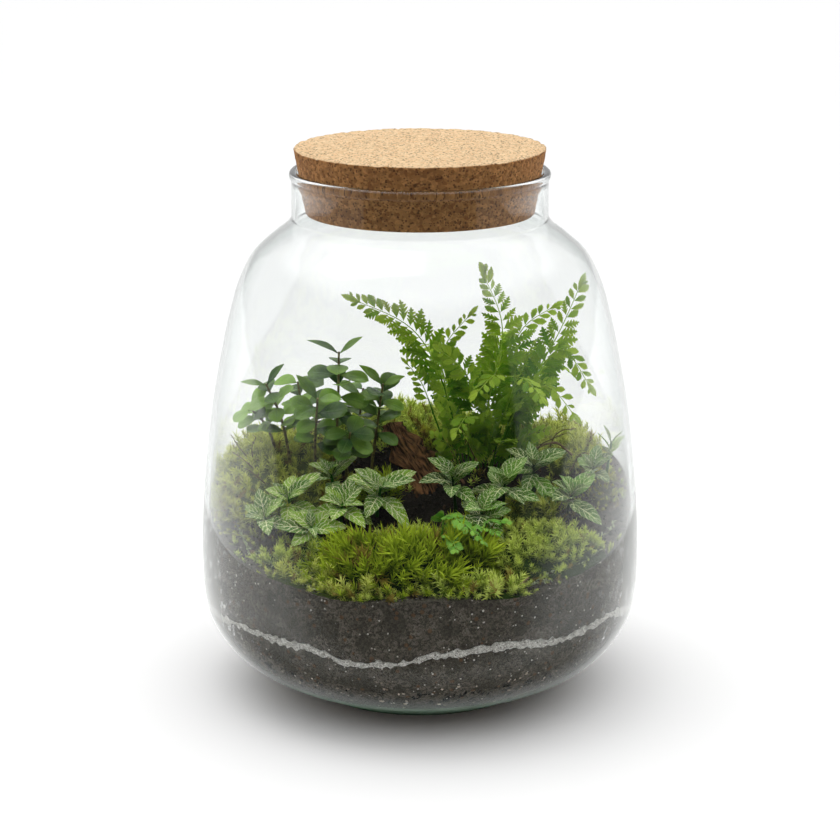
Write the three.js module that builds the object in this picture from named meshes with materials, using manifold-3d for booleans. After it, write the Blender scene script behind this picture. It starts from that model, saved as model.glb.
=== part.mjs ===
// Glass plant terrarium: a cork-lidded jar with layered soil, moss, a fern, a small shrub,
// white-veined plants, a piece of driftwood and dry twigs.
// Millimetres, +Z up, front towards -Y, origin at the centre of the jar's flat base.
import * as THREE from 'three';
import { mergeVertices } from 'three/addons/utils/BufferGeometryUtils.js';
import Module from 'manifold-3d';

const wasm = await Module();
wasm.setup();

// Driving dimensions of the jar, its lid and the clearances
const SECTORS = 28;
const GAP = 0.3;
const BASE_RADIUS = 66;
const BELLY_RADIUS = 125;
const NECK_RADIUS = 71.4;
const NECK_FOOT_HEIGHT = 271;
const RIM_HEIGHT = 297;
const RIM_BEAD = 1.1;
const GLASS_WALL = 3;
const GLASS_FLOOR = 8;
const PLAIN_WALL_FROM = 60;
const CORK_TOP_RADIUS = 70.1;
const CORK_BOTTOM_RADIUS = 63.4;
const CORK_TOP = 309.8;
const CORK_BOTTOM = 273.6;
const CORK_EDGE = 0.8;

// Driving dimensions of the fill
const GRAVEL_TOP = 19;
const GRAVEL_RIPPLE = 1.2;
const SAND_MIDDLE = 56;
const SAND_THICKNESS = 4;
const SOIL_FRONT = 87;
const SOIL_RISE = 38;
const FRONT_EDGE = -118;
const RISE_LENGTH = 170;
const SOIL_RIPPLE = 1.4;

// Height of the sand line against the glass, by azimuth in degrees from the front
const SAND_LINE = [
  [-180, 56], [-120, 58], [-72, 53], [-50, 56], [-30, 55.5], [-18, 50], [-8, 51.5],
  [6, 57], [20, 60], [36, 56.5], [56, 59], [80, 52.5], [130, 57], [180, 56],
];

// Driving dimensions of the plants
const LEAF_THICKNESS = 0.7;
const ROOT_DEPTH = 7;
const STEM_HOLE_CLEARANCE = 0.6;
const ROOT_SHARE = 0.25;
const STEM_SIDES = 3;

const vec = (x, y, z) => new THREE.Vector3(x, y, z);
const UP = vec(0, 0, 1);
const TO_FRONT = vec(0, -1, 0.35).normalize();
const rad = (degrees) => (degrees * Math.PI) / 180;
const lerp = (a, b, t) => a + (b - a) * t;

function smooth(t) {
  const c = Math.min(1, Math.max(0, t));
  return c * c * (3 - 2 * c);
}

// Repeatable draw between 0 and 1 for a whole number
function draw(n) {
  const s = Math.sin(n * 12.9898 + 4.1) * 43758.5453;
  return s - Math.floor(s);
}

// Solids

// A closed geometry as a solid, with shared corners merged and its faces turned outwards
function solidOf(geometry) {
  const bare = geometry.clone();
  for (const name of Object.keys(bare.attributes)) {
    if (name !== 'position') bare.deleteAttribute(name);
  }
  const merged = mergeVertices(bare, 1e-4);
  const points = merged.attributes.position.array;
  const index = merged.index.array;
  const triangles = [];
  let volume = 0;
  for (let i = 0; i < index.length; i += 3) {
    const [a, b, c] = [index[i], index[i + 1], index[i + 2]];
    if (a === b || b === c || c === a) continue;
    triangles.push(a, b, c);
    const p = vec().fromArray(points, a * 3);
    const q = vec().fromArray(points, b * 3);
    const r = vec().fromArray(points, c * 3);
    volume += p.dot(q.cross(r));
  }
  if (volume < 0) triangles.reverse();
  return new wasm.Manifold(new wasm.Mesh({
    numProp: 3,
    vertProperties: Float32Array.from(points),
    triVerts: Uint32Array.from(triangles),
  }));
}

function geometryOf(solid) {
  const mesh = solid.getMesh();
  const geometry = new THREE.BufferGeometry();
  geometry.setAttribute('position', new THREE.BufferAttribute(mesh.vertProperties, 3));
  geometry.setIndex(new THREE.BufferAttribute(mesh.triVerts, 1));
  return geometry;
}

// The largest connected piece, so that no loose scrap is kept
function largest(solid) {
  const pieces = solid.decompose();
  return pieces.reduce((best, piece) => (piece.volume() > best.volume() ? piece : best));
}

function joined(solids) {
  return largest(solids.reduce((sum, solid) => sum.add(solid)));
}

// A closed skin over rings of points, from a first point to a last one. Each square between two
// rings is split from its first corner, or across that.
function ringSolid(first, rings, last, fromFirst = () => true) {
  const sides = rings[0].length;
  const points = [first, ...rings.flat(), last];
  const at = (ring, side) => 1 + ring * sides + (side % sides);
  const end = points.length - 1;
  const index = [];
  for (let j = 0; j < sides; j += 1) {
    index.push(0, at(0, j + 1), at(0, j));
    for (let i = 0; i + 1 < rings.length; i += 1) {
      const [a, b, c, d] = [at(i, j), at(i, j + 1), at(i + 1, j + 1), at(i + 1, j)];
      index.push(...(fromFirst(i, j) ? [a, b, c, a, c, d] : [a, b, d, b, c, d]));
    }
    index.push(end, at(rings.length - 1, j), at(rings.length - 1, j + 1));
  }
  const geometry = new THREE.BufferGeometry().setFromPoints(points);
  geometry.setIndex(index);
  return solidOf(geometry);
}

function lathed(profile) {
  const points = profile.map(([r, z]) => new THREE.Vector2(r, z));
  const geometry = new THREE.LatheGeometry(points, SECTORS);
  geometry.rotateX(Math.PI / 2);
  return solidOf(geometry);
}

// A round stem along a curve
function tube(curve, radius, steps, sides = STEM_SIDES) {
  const corners = [];
  for (let i = 0; i < sides; i += 1) {
    const a = (i / sides) * 2 * Math.PI;
    corners.push(new THREE.Vector2(radius * Math.cos(a), radius * Math.sin(a)));
  }
  const shape = new THREE.Shape(corners);
  return solidOf(new THREE.ExtrudeGeometry(shape, { steps, bevelEnabled: false, extrudePath: curve }));
}

// A thin closed sheet: flat points (s, w), their triangles, and where each point lies in space.
// Both faces are split alike.
function sheet(flat, triangles, place, thickness) {
  const upper = [];
  const lower = [];
  for (const corner of flat) {
    const { point, normal } = place(...corner);
    upper.push(point.clone().addScaledVector(normal, thickness / 2));
    lower.push(point.clone().addScaledVector(normal, -thickness / 2));
  }
  const n = flat.length;
  const index = [];
  const edges = new Set(triangles.flatMap(([a, b, c]) => [`${a} ${b}`, `${b} ${c}`, `${c} ${a}`]));
  for (const [a, b, c] of triangles) {
    index.push(a, b, c, c + n, b + n, a + n);
    for (const [p, q] of [[a, b], [b, c], [c, a]]) {
      if (!edges.has(`${q} ${p}`)) index.push(p, p + n, q + n, p, q + n, q);
    }
  }
  const geometry = new THREE.BufferGeometry().setFromPoints([...upper, ...lower]);
  geometry.setIndex(index);
  return solidOf(geometry);
}

// Jar and lid

// Outer wall of the jar from its flat base to the foot of the neck, as radius and height
const OUTER = [
  [BASE_RADIUS, 0], [99, 17], [113, 29.5], [121.5, 44], [124.5, 59], [BELLY_RADIUS, 84],
  [120.8, 139], [112.9, 190], [101.1, 236], [93, 251], [82, 261], [74.4, 267],
  [NECK_RADIUS, NECK_FOOT_HEIGHT],
];

// The glass thickens from the plain wall towards the base
function glassThickness(z) {
  const low = Math.max(0, 1 - z / PLAIN_WALL_FROM);
  return GLASS_WALL + (GLASS_FLOOR - GLASS_WALL) * low * low;
}

// The wall moved inwards by an amount that may change with height
function inset(outline, amount) {
  return outline.map(([r, z], i) => {
    const [r0, z0] = i === 0 ? [0, 0] : outline[i - 1];
    const [r1, z1] = i === outline.length - 1 ? [r, z + 1] : outline[i + 1];
    const before = new THREE.Vector2(z - z0, r0 - r).normalize();
    const after = new THREE.Vector2(z1 - z, r - r1).normalize();
    const normal = before.add(after).normalize();
    return [r - normal.x * amount(z), z - normal.y * amount(z)];
  });
}

const INNER = inset(OUTER, glassThickness);
const CORK_TAPER = (CORK_TOP_RADIUS - CORK_BOTTOM_RADIUS) / (CORK_TOP - CORK_BOTTOM);
const corkRadius = (z) => CORK_BOTTOM_RADIUS + (z - CORK_BOTTOM) * CORK_TAPER;
const SEAT_RADIUS = corkRadius(RIM_HEIGHT) + GAP;

function jarSolid() {
  const rimOut = NECK_RADIUS + RIM_BEAD;
  const rim = [
    [NECK_RADIUS, RIM_HEIGHT - 5], [rimOut, RIM_HEIGHT - 3.6], [rimOut, RIM_HEIGHT - 1.2],
    [rimOut - 1.2, RIM_HEIGHT], [SEAT_RADIUS, RIM_HEIGHT], [SEAT_RADIUS, RIM_HEIGHT - 3],
    [NECK_RADIUS - GLASS_WALL + 0.4, RIM_HEIGHT - 5],
  ];
  const inner = [...INNER].reverse();
  return lathed([[0, 0], ...OUTER, ...rim, ...inner, [0, GLASS_FLOOR]]);
}

function corkSolid() {
  return lathed([
    [0, CORK_BOTTOM],
    [CORK_BOTTOM_RADIUS - CORK_EDGE, CORK_BOTTOM],
    [corkRadius(CORK_BOTTOM + CORK_EDGE), CORK_BOTTOM + CORK_EDGE],
    [corkRadius(CORK_TOP - CORK_EDGE), CORK_TOP - CORK_EDGE],
    [CORK_TOP_RADIUS - CORK_EDGE, CORK_TOP],
    [0, CORK_TOP],
  ]);
}

// Radius of the space inside the jar at a height, kept clear of the glass
function roomRadius(z) {
  const wall = [[0, GLASS_FLOOR], ...INNER];
  for (let i = 0; i + 1 < wall.length; i += 1) {
    const [r0, z0] = wall[i];
    const [r1, z1] = wall[i + 1];
    if (z <= z1) return lerp(r0, r1, (z - z0) / (z1 - z0)) - GAP * 1.3;
  }
  return NECK_RADIUS - GLASS_WALL - GAP;
}

// Fill

function sandLine(azimuth) {
  for (let i = 0; i + 1 < SAND_LINE.length; i += 1) {
    const [a, za] = SAND_LINE[i];
    const [b, zb] = SAND_LINE[i + 1];
    if (azimuth <= b) return lerp(za, zb, smooth((azimuth - a) / (b - a)));
  }
  return SAND_LINE[0][1];
}

const gravelTop = (x, y) => GRAVEL_TOP + GRAVEL_RIPPLE * Math.sin(x / 9 + 1) * Math.cos(y / 8);

function sandTop(x, y) {
  const azimuth = (Math.atan2(x, -y) * 180) / Math.PI;
  const reach = Math.hypot(x, y) / BELLY_RADIUS;
  return lerp(SAND_MIDDLE, sandLine(azimuth), smooth(reach)) + SAND_THICKNESS / 2;
}

function soilTop(x, y) {
  const rise = SOIL_RISE * smooth((y - FRONT_EDGE) / RISE_LENGTH);
  return SOIL_FRONT + rise + SOIL_RIPPLE * Math.sin(x / 15 + 0.8) * Math.cos(y / 17);
}

// One ring of a layer's surface, at a share of the room's radius
function layerRing(height, share, shift) {
  const ring = [];
  for (let j = 0; j < SECTORS; j += 1) {
    const azimuth = rad((j * 360) / SECTORS);
    let radius = share * BELLY_RADIUS;
    let z = 0;
    for (let pass = 0; pass < 4; pass += 1) {
      z = height(radius * Math.sin(azimuth), -radius * Math.cos(azimuth));
      radius = share * roomRadius(z);
    }
    ring.push(vec(radius * Math.sin(azimuth), -radius * Math.cos(azimuth), z + shift));
  }
  return ring;
}

// A ring pressed against the wall between two others
function wallRing(low, high, t) {
  return low.map((p, j) => {
    const z = lerp(p.z, high[j].z, t);
    const azimuth = rad((j * 360) / SECTORS);
    return vec(roomRadius(z) * Math.sin(azimuth), -roomRadius(z) * Math.cos(azimuth), z);
  });
}

// A layer of the fill between two height formulas, with its edge against the glass
function layer(low, high, lowShares, highShares, wallSteps) {
  const bottom = [...lowShares, 1].map((share) => layerRing(low, share, GAP / 2));
  const top = [...highShares, 1].map((share) => layerRing(high, share, -GAP / 2)).reverse();
  const side = [];
  for (let i = 1; i < wallSteps; i += 1) {
    side.push(wallRing(bottom[bottom.length - 1], top[0], i / wallSteps));
  }
  const first = vec(0, 0, low(0, 0) + GAP / 2);
  const last = vec(0, 0, high(0, 0) - GAP / 2);
  const turning = bottom.length + side.length;
  // Facing layers are split alike, so that they stay the same gap apart
  return ringSolid(first, [...bottom, ...side, ...top], last, (i) => i < turning);
}

const GRAVEL_RINGS = [0.38, 0.72];
const FEW_RINGS = [0.35, 0.7];
const MANY_RINGS = [0.2, 0.38, 0.54, 0.68, 0.8, 0.91];
const floorTop = () => GLASS_FLOOR + GAP / 2;
const sandBottom = (x, y) => sandTop(x, y) - SAND_THICKNESS;

// Plants

// Where an upright stem stands, and how tall it rises above the soil
function stemCurve(base, bend, tip) {
  const ground = soilTop(base[0], base[1]);
  return new THREE.CatmullRomCurve3([
    vec(base[0], base[1], ground - ROOT_DEPTH),
    vec(base[0], base[1], ground + 1.5),
    ...bend.map((p) => vec(...p)),
    vec(...tip),
  ]);
}

const holes = [];

// The first part of another curve, up to a share of its length
class CurveStart extends THREE.Curve {
  constructor(whole, until) {
    super();
    this.whole = whole;
    this.until = until;
  }

  getPoint(t) {
    return this.whole.getPointAt(t * this.until);
  }
}

// A stem, and the plain hole that it stands in, through the soil and the moss over it
function stemInHole(curve, radius, steps) {
  holes.push(tube(curve, radius + STEM_HOLE_CLEARANCE, steps).translate([0, 0, -GAP]));
  return tube(curve, radius, steps);
}

// What already stands, so that the next leaf can be bent clear of it
const standing = [];

function stand(solid) {
  standing.push({ solid, box: solid.boundingBox() });
}

function isClear(solid, ignored) {
  const box = solid.boundingBox();
  for (const other of standing) {
    if (other.solid === ignored) continue;
    const apart = [0, 1, 2].some((k) => box.min[k] > other.box.max[k] || box.max[k] < other.box.min[k]);
    if (!apart && solid.intersect(other.solid).volume() > 1e-6) return false;
  }
  return true;
}

const BENDS = [0, 0.22, -0.22, 0.45, -0.45, 0.7, -0.7];

// The first bend of a leaf that keeps it clear of its neighbours; a leaf with no room is left out
function bentClear(make, ownStem) {
  for (const bend of BENDS) {
    if (isClear(make(bend, LEAF_THICKNESS + 2 * GAP), ownStem)) return make(bend, LEAF_THICKNESS);
  }
  return null;
}

// Outline of a leaf, as shares of its length and of its half width, with its midrib beyond the
// middle, and the triangles of one face
const LEAF_OUTLINE = [[0, 0], [0.34, -0.86], [0.34, 0.86], [0.7, -0.88], [0.7, 0], [0.7, 0.88], [1, 0]];
const LEAF_FACES = [[0, 1, 2], [1, 3, 4], [1, 4, 2], [2, 4, 5], [3, 6, 4], [4, 6, 5]];

// A leaf from a point on a stem: rounded outline, folded along its midrib and arched
function leaf({ root, along, normal, length, width, arch, fold }, bend, thickness) {
  const side = vec().crossVectors(along, normal).normalize();
  const face = vec().crossVectors(side, along).normalize();
  const place = (s, w) => {
    const point = root.clone()
      .addScaledVector(along, s * length)
      .addScaledVector(side, (w * width) / 2)
      .addScaledVector(face, length * (bend * s - arch * s * s) + Math.abs(w) * fold * width);
    const slope = bend - 2 * arch * s;
    const tilted = face.clone().addScaledVector(along, -slope).normalize();
    return { point, normal: tilted };
  };
  return sheet(LEAF_OUTLINE, LEAF_FACES, place, thickness);
}

// Plants whose stems stand, and whose leaves are still to be placed
const growing = [];

// A stem with leaves, each at a share of its height, turned round it and raised from level
function plantLeafyStem(name, colour, { base, bend = [], tip, radius, leaves }) {
  const curve = stemCurve(base, bend, tip);
  const core = stemInHole(curve, radius, 3 + 2 * bend.length);
  stand(core);
  const grow = () => leaves.map((spec) => {
    const axis = curve.getTangentAt(spec.at);
    const out = vec(Math.sin(rad(spec.turn)), -Math.cos(rad(spec.turn)), 0);
    out.addScaledVector(axis, -out.dot(axis)).normalize();
    const along = out.clone().multiplyScalar(Math.cos(spec.rise)).addScaledVector(axis, Math.sin(spec.rise));
    const normal = axis.clone().addScaledVector(along, -along.dot(axis)).normalize();
    const root = curve.getPointAt(spec.at).addScaledVector(out, radius * ROOT_SHARE);
    const make = (bendBy, thickness) => leaf({ root, along, normal, ...spec }, bendBy, thickness);
    return bentClear(make, core);
  });
  const whole = (blades) => joined([core, ...blades]);
  growing.push({ name, colour, core, grow, whole });
}

// Two opposite leaves at each step of a stem, a quarter turn from the pair below
function leafPairs(yaw, pairs) {
  return pairs.flatMap((pair, i) => [0, 180].map((half) => ({
    arch: 0.22, fold: 0.1, ...pair, turn: yaw + 90 * i + half,
  })));
}

// Outlines of one side leaflet of a frond: lower and upper edge points as shares of its length
// along its own axis and of its half width across
const LOBED_LEAFLET = [[0.34, 1], [0.48, 0.42], [0.7, 0.72]];
const PLAIN_LEAFLET = [[0.6, 1]];
const LEAFLET_ANGLE = rad(58);
const RIB_HALF_WIDTH = 0.7;
const STALK_RADIUS = 0.9;
const STALK_STEPS = 6;
const LEAFLET_DROOP = 0.008;
const LEAFLET_ROOT = 0.16;
const LEAFLET_PLACE = 0.35;
const LAST_LEAFLET = 0.26;
const FIRST_LEAFLET = 0.85;
const LEAFLET_WIDTH = 0.42;
const LEAFLET_ROOM = 0.46;
const FROND_TIP = 0.6;
const LOBED_FROM = 15.5;

// One frond: a wiry stalk, and a thin arched blade cut to its rib into side leaflets
function plantFrond(name, colour, { base, bend, tip, from, pairs, leaflet, facing = TO_FRONT }) {
  const curve = stemCurve(base, bend, tip);
  const span = curve.getLength() * (1 - from);
  const place = (s, w, bendBy = 0) => {
    const share = Math.min(1, from + (s / span) * (1 - from));
    const point = curve.getPointAt(share);
    const along = curve.getTangentAt(share);
    const side = vec().crossVectors(along, facing).normalize();
    const normal = vec().crossVectors(side, along).normalize();
    const reach = Math.max(0, Math.abs(w) - RIB_HALF_WIDTH);
    point.addScaledVector(along, Math.max(0, s - span)).addScaledVector(side, w);
    point.addScaledVector(normal, bendBy * reach - LEAFLET_DROOP * reach * reach);
    return { point, normal };
  };
  const step = span / (pairs + FROND_TIP);
  const rootHalf = step * LEAFLET_ROOT;
  const stations = [0];
  const leaflets = [];
  for (let i = 0; i < pairs; i += 1) {
    const middle = (i + LEAFLET_PLACE) * step;
    stations.push(middle - rootHalf, middle + rootHalf);
    const share = i / (pairs - 1);
    const length = leaflet * lerp(1, LAST_LEAFLET, share) * (i === 0 ? FIRST_LEAFLET : 1);
    for (const hand of [-1, 1]) leaflets.push({ middle, length, hand });
  }
  const rib = [[0, -RIB_HALF_WIDTH], [0, RIB_HALF_WIDTH]];
  const ribFaces = [];
  stations.slice(1).forEach((s) => {
    const a = rib.length - 2;
    rib.push([s, -RIB_HALF_WIDTH], [s, RIB_HALF_WIDTH]);
    ribFaces.push([a, a + 2, a + 1], [a + 1, a + 2, a + 3]);
  });
  const end = rib.length;
  rib.push([span, 0]);
  ribFaces.push([end - 2, end, end - 1]);
  const ribAlone = sheet(rib, ribFaces, place, LEAF_THICKNESS);
  const stalk = stemInHole(new CurveStart(curve, from + 0.04), STALK_RADIUS, STALK_STEPS);
  const core = joined([stalk, ribAlone]);
  stand(core);

  // Points and faces of one leaflet, whose first two points lie on the rib
  const leafletSheet = ({ middle, length, hand }) => {
    const along = [Math.cos(LEAFLET_ANGLE), Math.sin(LEAFLET_ANGLE)];
    const across = [Math.sin(LEAFLET_ANGLE), -Math.cos(LEAFLET_ANGLE)];
    const half = Math.min(length * LEAFLET_WIDTH, step * LEAFLET_ROOM);
    const outline = length > LOBED_FROM ? LOBED_LEAFLET : PLAIN_LEAFLET;
    const flat = [[middle - rootHalf, hand * RIB_HALF_WIDTH], [middle + rootHalf, hand * RIB_HALF_WIDTH]];
    const at = (u, v) => [
      middle + along[0] * u + across[0] * v,
      hand * (RIB_HALF_WIDTH + along[1] * u + across[1] * v),
    ];
    outline.forEach(([u, v]) => flat.push(at(u * length, -v * half), at(u * length, v * half)));
    flat.push(at(length, 0));
    const faces = [];
    for (let k = 0; k + 3 < flat.length; k += 2) faces.push([k, k + 2, k + 1], [k + 1, k + 2, k + 3]);
    faces.push([flat.length - 3, flat.length - 1, flat.length - 2]);
    return { flat, faces: hand > 0 ? faces.map(([a, b, c]) => [a, c, b]) : faces };
  };

  const grow = () => leaflets.map((spec) => {
    const { flat, faces } = leafletSheet(spec);
    const make = (bendBy, thickness) => sheet(flat, faces, (s, w) => place(s, w, bendBy), thickness);
    const fits = BENDS.find((bendBy) => isClear(make(bendBy, LEAF_THICKNESS + 2 * GAP), core));
    return fits === undefined ? null : { flat, faces, fits };
  });

  // The rib and every leaflet that found room, as one sheet
  const whole = (kept) => {
    const flat = rib.map(([s, w]) => [s, w, 0]);
    const faces = [...ribFaces];
    for (const one of kept) {
      const [low, high] = one.flat.slice(0, 2).map(([s, w]) => (
        rib.findIndex((p) => Math.abs(p[0] - s) < 1e-6 && Math.sign(p[1]) === Math.sign(w))));
      const shift = flat.length - 2;
      const index = (k) => (k === 0 ? low : k === 1 ? high : k + shift);
      one.flat.slice(2).forEach(([s, w]) => flat.push([s, w, one.fits]));
      one.faces.forEach((face) => faces.push(face.map(index)));
    }
    return joined([stalk, sheet(flat, faces, place, LEAF_THICKNESS)]);
  };
  growing.push({ name, colour, core, grow, whole });
}

// Ground cover and wood

// A cushion of moss: a domed patch whose surface is raised into upright tufts. Its rim stands a
// little above the soil and its underside lies below it.
const MOSS_SIDES = 16;
const MOSS_SHARES = [0.96, 0.8, 0.64, 0.48, 0.32, 0.16];
const MOSS_RIM = 2.5;
const MOSS_EDGE_DEPTH = -1.5;
const MOSS_DEPTH = -4;

function mossCushion({ centre, reach, height, tuft, seed }) {
  const ring = (share, heightAt) => {
    const points = [];
    for (let j = 0; j < MOSS_SIDES; j += 1) {
      const turn = rad((j * 360) / MOSS_SIDES);
      const ripple = 1 + 0.09 * Math.sin(3 * turn + seed) + 0.05 * Math.sin(7 * turn + 2 * seed);
      const x = centre[0] + reach[0] * share * ripple * Math.cos(turn);
      const y = centre[1] + reach[1] * share * ripple * Math.sin(turn);
      points.push(vec(x, y, soilTop(x, y) + heightAt(j)));
    }
    return points;
  };
  const top = MOSS_SHARES.map((share, i) => ring(share, (j) => {
    const dome = MOSS_RIM + (height - MOSS_RIM) * Math.sqrt(1 - share * share);
    const lift = tuft * (0.55 + 0.9 * draw(seed * 97 + i * MOSS_SIDES + j));
    return dome + ((i + j) % 2 === 0 ? lift : 0);
  }));
  const ground = soilTop(centre[0], centre[1]);
  const low = vec(centre[0], centre[1], ground + MOSS_DEPTH);
  const high = vec(centre[0], centre[1], ground + height + tuft);
  const under = [0.5, 0.95].map((share) => ring(share, () => MOSS_DEPTH));
  under.push(ring(1.05, () => MOSS_EDGE_DEPTH));
  // Squares are split between their low corners, so that each tuft stands alone
  return ringSolid(low, [...under, ...top], high, (i, j) => (i + j) % 2 === 0);
}

// A leaning slab of bark between two ends, with a rough outline
function barkSolid({ foot, head, halfWidth, halfDepth }) {
  const start = vec(...foot);
  const axis = vec(...head).sub(start);
  const length = axis.length();
  axis.normalize();
  const across = vec(0.86, 0.5, 0);
  across.addScaledVector(axis, -across.dot(axis)).normalize();
  const depth = vec().crossVectors(axis, across);
  const rings = [];
  const steps = 7;
  const sides = 8;
  for (let i = 0; i <= steps; i += 1) {
    const share = i / steps;
    const taper = lerp(1, 0.55, share) * (i === steps ? 0.6 : 1);
    const ring = [];
    for (let j = 0; j < sides; j += 1) {
      const turn = (j / sides) * 2 * Math.PI;
      const rough = 0.82 + 0.36 * draw(i * sides + j + 300);
      ring.push(start.clone()
        .addScaledVector(axis, share * length)
        .addScaledVector(across, halfWidth * taper * rough * Math.cos(turn) + 2.5 * Math.sin(share * 5))
        .addScaledVector(depth, halfDepth * taper * rough * Math.sin(turn)));
    }
    rings.push(ring);
  }
  return ringSolid(start, rings, start.clone().addScaledVector(axis, length + 1));
}

// A dry twig along a few points, given as places on the ground and heights above it
function twigCurve(points) {
  return new THREE.CatmullRomCurve3(points.map(([x, y, above]) => vec(x, y, soilTop(x, y) + above)));
}

const GRAVEL = 0x9b8468;
const SOIL = 0x3b3430;
const SAND = 0xb9b0a2;
const WOOD = 0x7a4a2e;
const MOSS = 0x5f8f24;
const FERN = 0x5b9632;
const SHRUB = 0x3f7a35;
const VEINED = 0x6a9a5a;
const TWIG = 0x8a6f4d;

const MOSS_CUSHIONS = {
  moss_front: { centre: [-10, -88], reach: [42, 21], height: 12, tuft: 6, seed: 1 },
  moss_front_right: { centre: [69, -70], reach: [33, 20], height: 12, tuft: 6, seed: 2 },
  moss_left: { centre: [-84, 8], reach: [33, 54], height: 8, tuft: 6, seed: 3 },
  moss_back: { centre: [-4, 72], reach: [42, 31], height: 13, tuft: 7, seed: 4 },
  moss_back_right: { centre: [78, 54], reach: [32, 30], height: 7, tuft: 6, seed: 5 },
};

const BARK = { foot: [14, -20, 96], head: [-14, 20, 146], halfWidth: 15, halfDepth: 6 };

const TWIGS = {
  twig_front_left: { radius: 0.9, points: [[-66, -82, 0.6], [-56, -94, 0.4], [-44, -104, 0.8]] },
  twig_front_right: { radius: 0.8, points: [[38, -106, 0.5], [50, -100, 0.3], [58, -95, 4]] },
  twig_back_right: { radius: 0.9, points: [[52, 8, -4], [62, 10, 12], [78, 12, 17], [88, 10, 10]] },
};

// Shrub stems: foot, points on the way, tip, turn of the first pair, pairs and leaf length
const SHRUB_STEMS = [
  { base: [-50, 8], bend: [[-47, 6, 156]], tip: [-46, 5, 192], yaw: 80, pairs: 4, length: 19 },
  { base: [-60, -2], bend: [[-59, -12, 149]], tip: [-57, -22, 172], yaw: 60, pairs: 3, length: 18 },
  { base: [-74, 4], bend: [[-79, 1, 154]], tip: [-87, -5, 176], yaw: 100, pairs: 3, length: 17 },
  { base: [-28, 10], bend: [[-24, 6, 152]], tip: [-21, 2, 174], yaw: 70, pairs: 3, length: 17 },
  { base: [-82, 14], bend: [[-88, 11, 146]], tip: [-97, 5, 159], yaw: 110, pairs: 2, length: 14 },
  { base: [-62, 26], bend: [[-68, 27, 150]], tip: [-71, 27, 169], yaw: 40, pairs: 3, length: 17 },
  { base: [-38, 24], bend: [[-35, 28, 149]], tip: [-33, 31, 164], yaw: 30, pairs: 3, length: 16 },
  { base: [-42, -6], bend: [[-41, -14, 139]], tip: [-39, -22, 152], yaw: 75, pairs: 2, length: 16 },
];

// White-veined plants: foot, crown, turn of the top pair, pairs and leaf length
const VEINED_LEFT = [
  { base: [-24, -32], crown: [-22, -38, 125], yaw: 30, pairs: 3, length: 22 },
  { base: [-44, -42], crown: [-43, -48, 118], yaw: 75, pairs: 3, length: 20 },
  { base: [-72, -32], crown: [-73, -38, 119], yaw: 50, pairs: 3, length: 20 },
  { base: [-84, -46], crown: [-85, -52, 112], yaw: 85, pairs: 2, length: 18 },
  { base: [-60, -56], crown: [-59, -64, 110], yaw: 20, pairs: 3, length: 18 },
  { base: [-48, -18], crown: [-50, -22, 128], yaw: 40, pairs: 2, length: 19 },
];
const VEINED_RIGHT = [
  { base: [46, -36], crown: [47, -42, 130], yaw: 75, pairs: 3, length: 21 },
  { base: [20, -30], crown: [18, -36, 131], yaw: 40, pairs: 3, length: 20 },
  { base: [34, -52], crown: [34, -60, 119], yaw: 95, pairs: 3, length: 19 },
  { base: [82, -34], crown: [84, -40, 122], yaw: 60, pairs: 3, length: 20 },
  { base: [64, -16], crown: [64, -22, 134], yaw: 20, pairs: 3, length: 21 },
  { base: [98, -10], crown: [98, -14, 130], yaw: 80, pairs: 2, length: 17 },
];

// Fern fronds: foot, points on the way, tip, where the blade begins, leaflet pairs and length
const FRONDS = [
  {
    base: [22, 24], bend: [[14, 14, 169], [-4, 4, 205]],
    tip: [-42, -10, 228], from: 0.42, pairs: 8, leaflet: 19,
  },
  {
    base: [27, 15], bend: [[16, 6, 164], [13, -2, 194]],
    tip: [31, -15, 222], from: 0.4, pairs: 6, leaflet: 14,
  },
  {
    base: [34, 30], bend: [[42, 24, 169], [47, 16, 204]],
    tip: [34, 5, 242], from: 0.38, pairs: 7, leaflet: 20,
  },
  {
    base: [46, 26], bend: [[64, 22, 169], [80, 15, 202]],
    tip: [93, 7, 236], from: 0.36, pairs: 7, leaflet: 19,
  },
  {
    base: [51, 18], bend: [[64, 10, 169], [80, 4, 194]],
    tip: [99, -6, 170], from: 0.36, pairs: 7, leaflet: 17,
  },
  {
    base: [45, 11], bend: [[56, 0, 162], [71, -10, 176]],
    tip: [89, -25, 159], from: 0.34, pairs: 5, leaflet: 17,
  },
  {
    base: [42, 35], bend: [[50, 32, 174], [60, 28, 201]],
    tip: [82, 28, 216], from: 0.4, pairs: 6, leaflet: 17,
  },
  {
    base: [17, 17], bend: [[8, 8, 154], [0, 3, 176]],
    tip: [-10, -3, 190], from: 0.62, pairs: 3, leaflet: 10,
  },
  {
    base: [31, 21], bend: [[31, 10, 162], [25, 0, 182]],
    tip: [8, -14, 200], from: 0.4, pairs: 6, leaflet: 17,
  },
];

// Fronds that arch low, with their faces up
const LOW_FRONDS = [
  {
    base: [35, 12], bend: [[40, 2, 169], [42, -12, 183]],
    tip: [28, -36, 175], from: 0.36, pairs: 6, leaflet: 18,
  },
  {
    base: [41, 8], bend: [[50, -2, 164], [56, -14, 182]],
    tip: [70, -38, 173], from: 0.36, pairs: 6, leaflet: 18,
  },
  {
    base: [28, 8], bend: [[27, -4, 152], [26, -16, 160]],
    tip: [18, -34, 152], from: 0.36, pairs: 5, leaflet: 15,
  },
  {
    base: [36, 40], bend: [[42, 50, 169], [46, 56, 186]],
    tip: [52, 74, 188], from: 0.36, pairs: 6, leaflet: 18,
  },
  {
    base: [48, 38], bend: [[62, 44, 164], [76, 48, 176]],
    tip: [94, 54, 164], from: 0.36, pairs: 6, leaflet: 17,
  },
  {
    base: [26, 38], bend: [[16, 46, 164], [10, 52, 182]],
    tip: [-6, 62, 184], from: 0.36, pairs: 6, leaflet: 17,
  },
];

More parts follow.
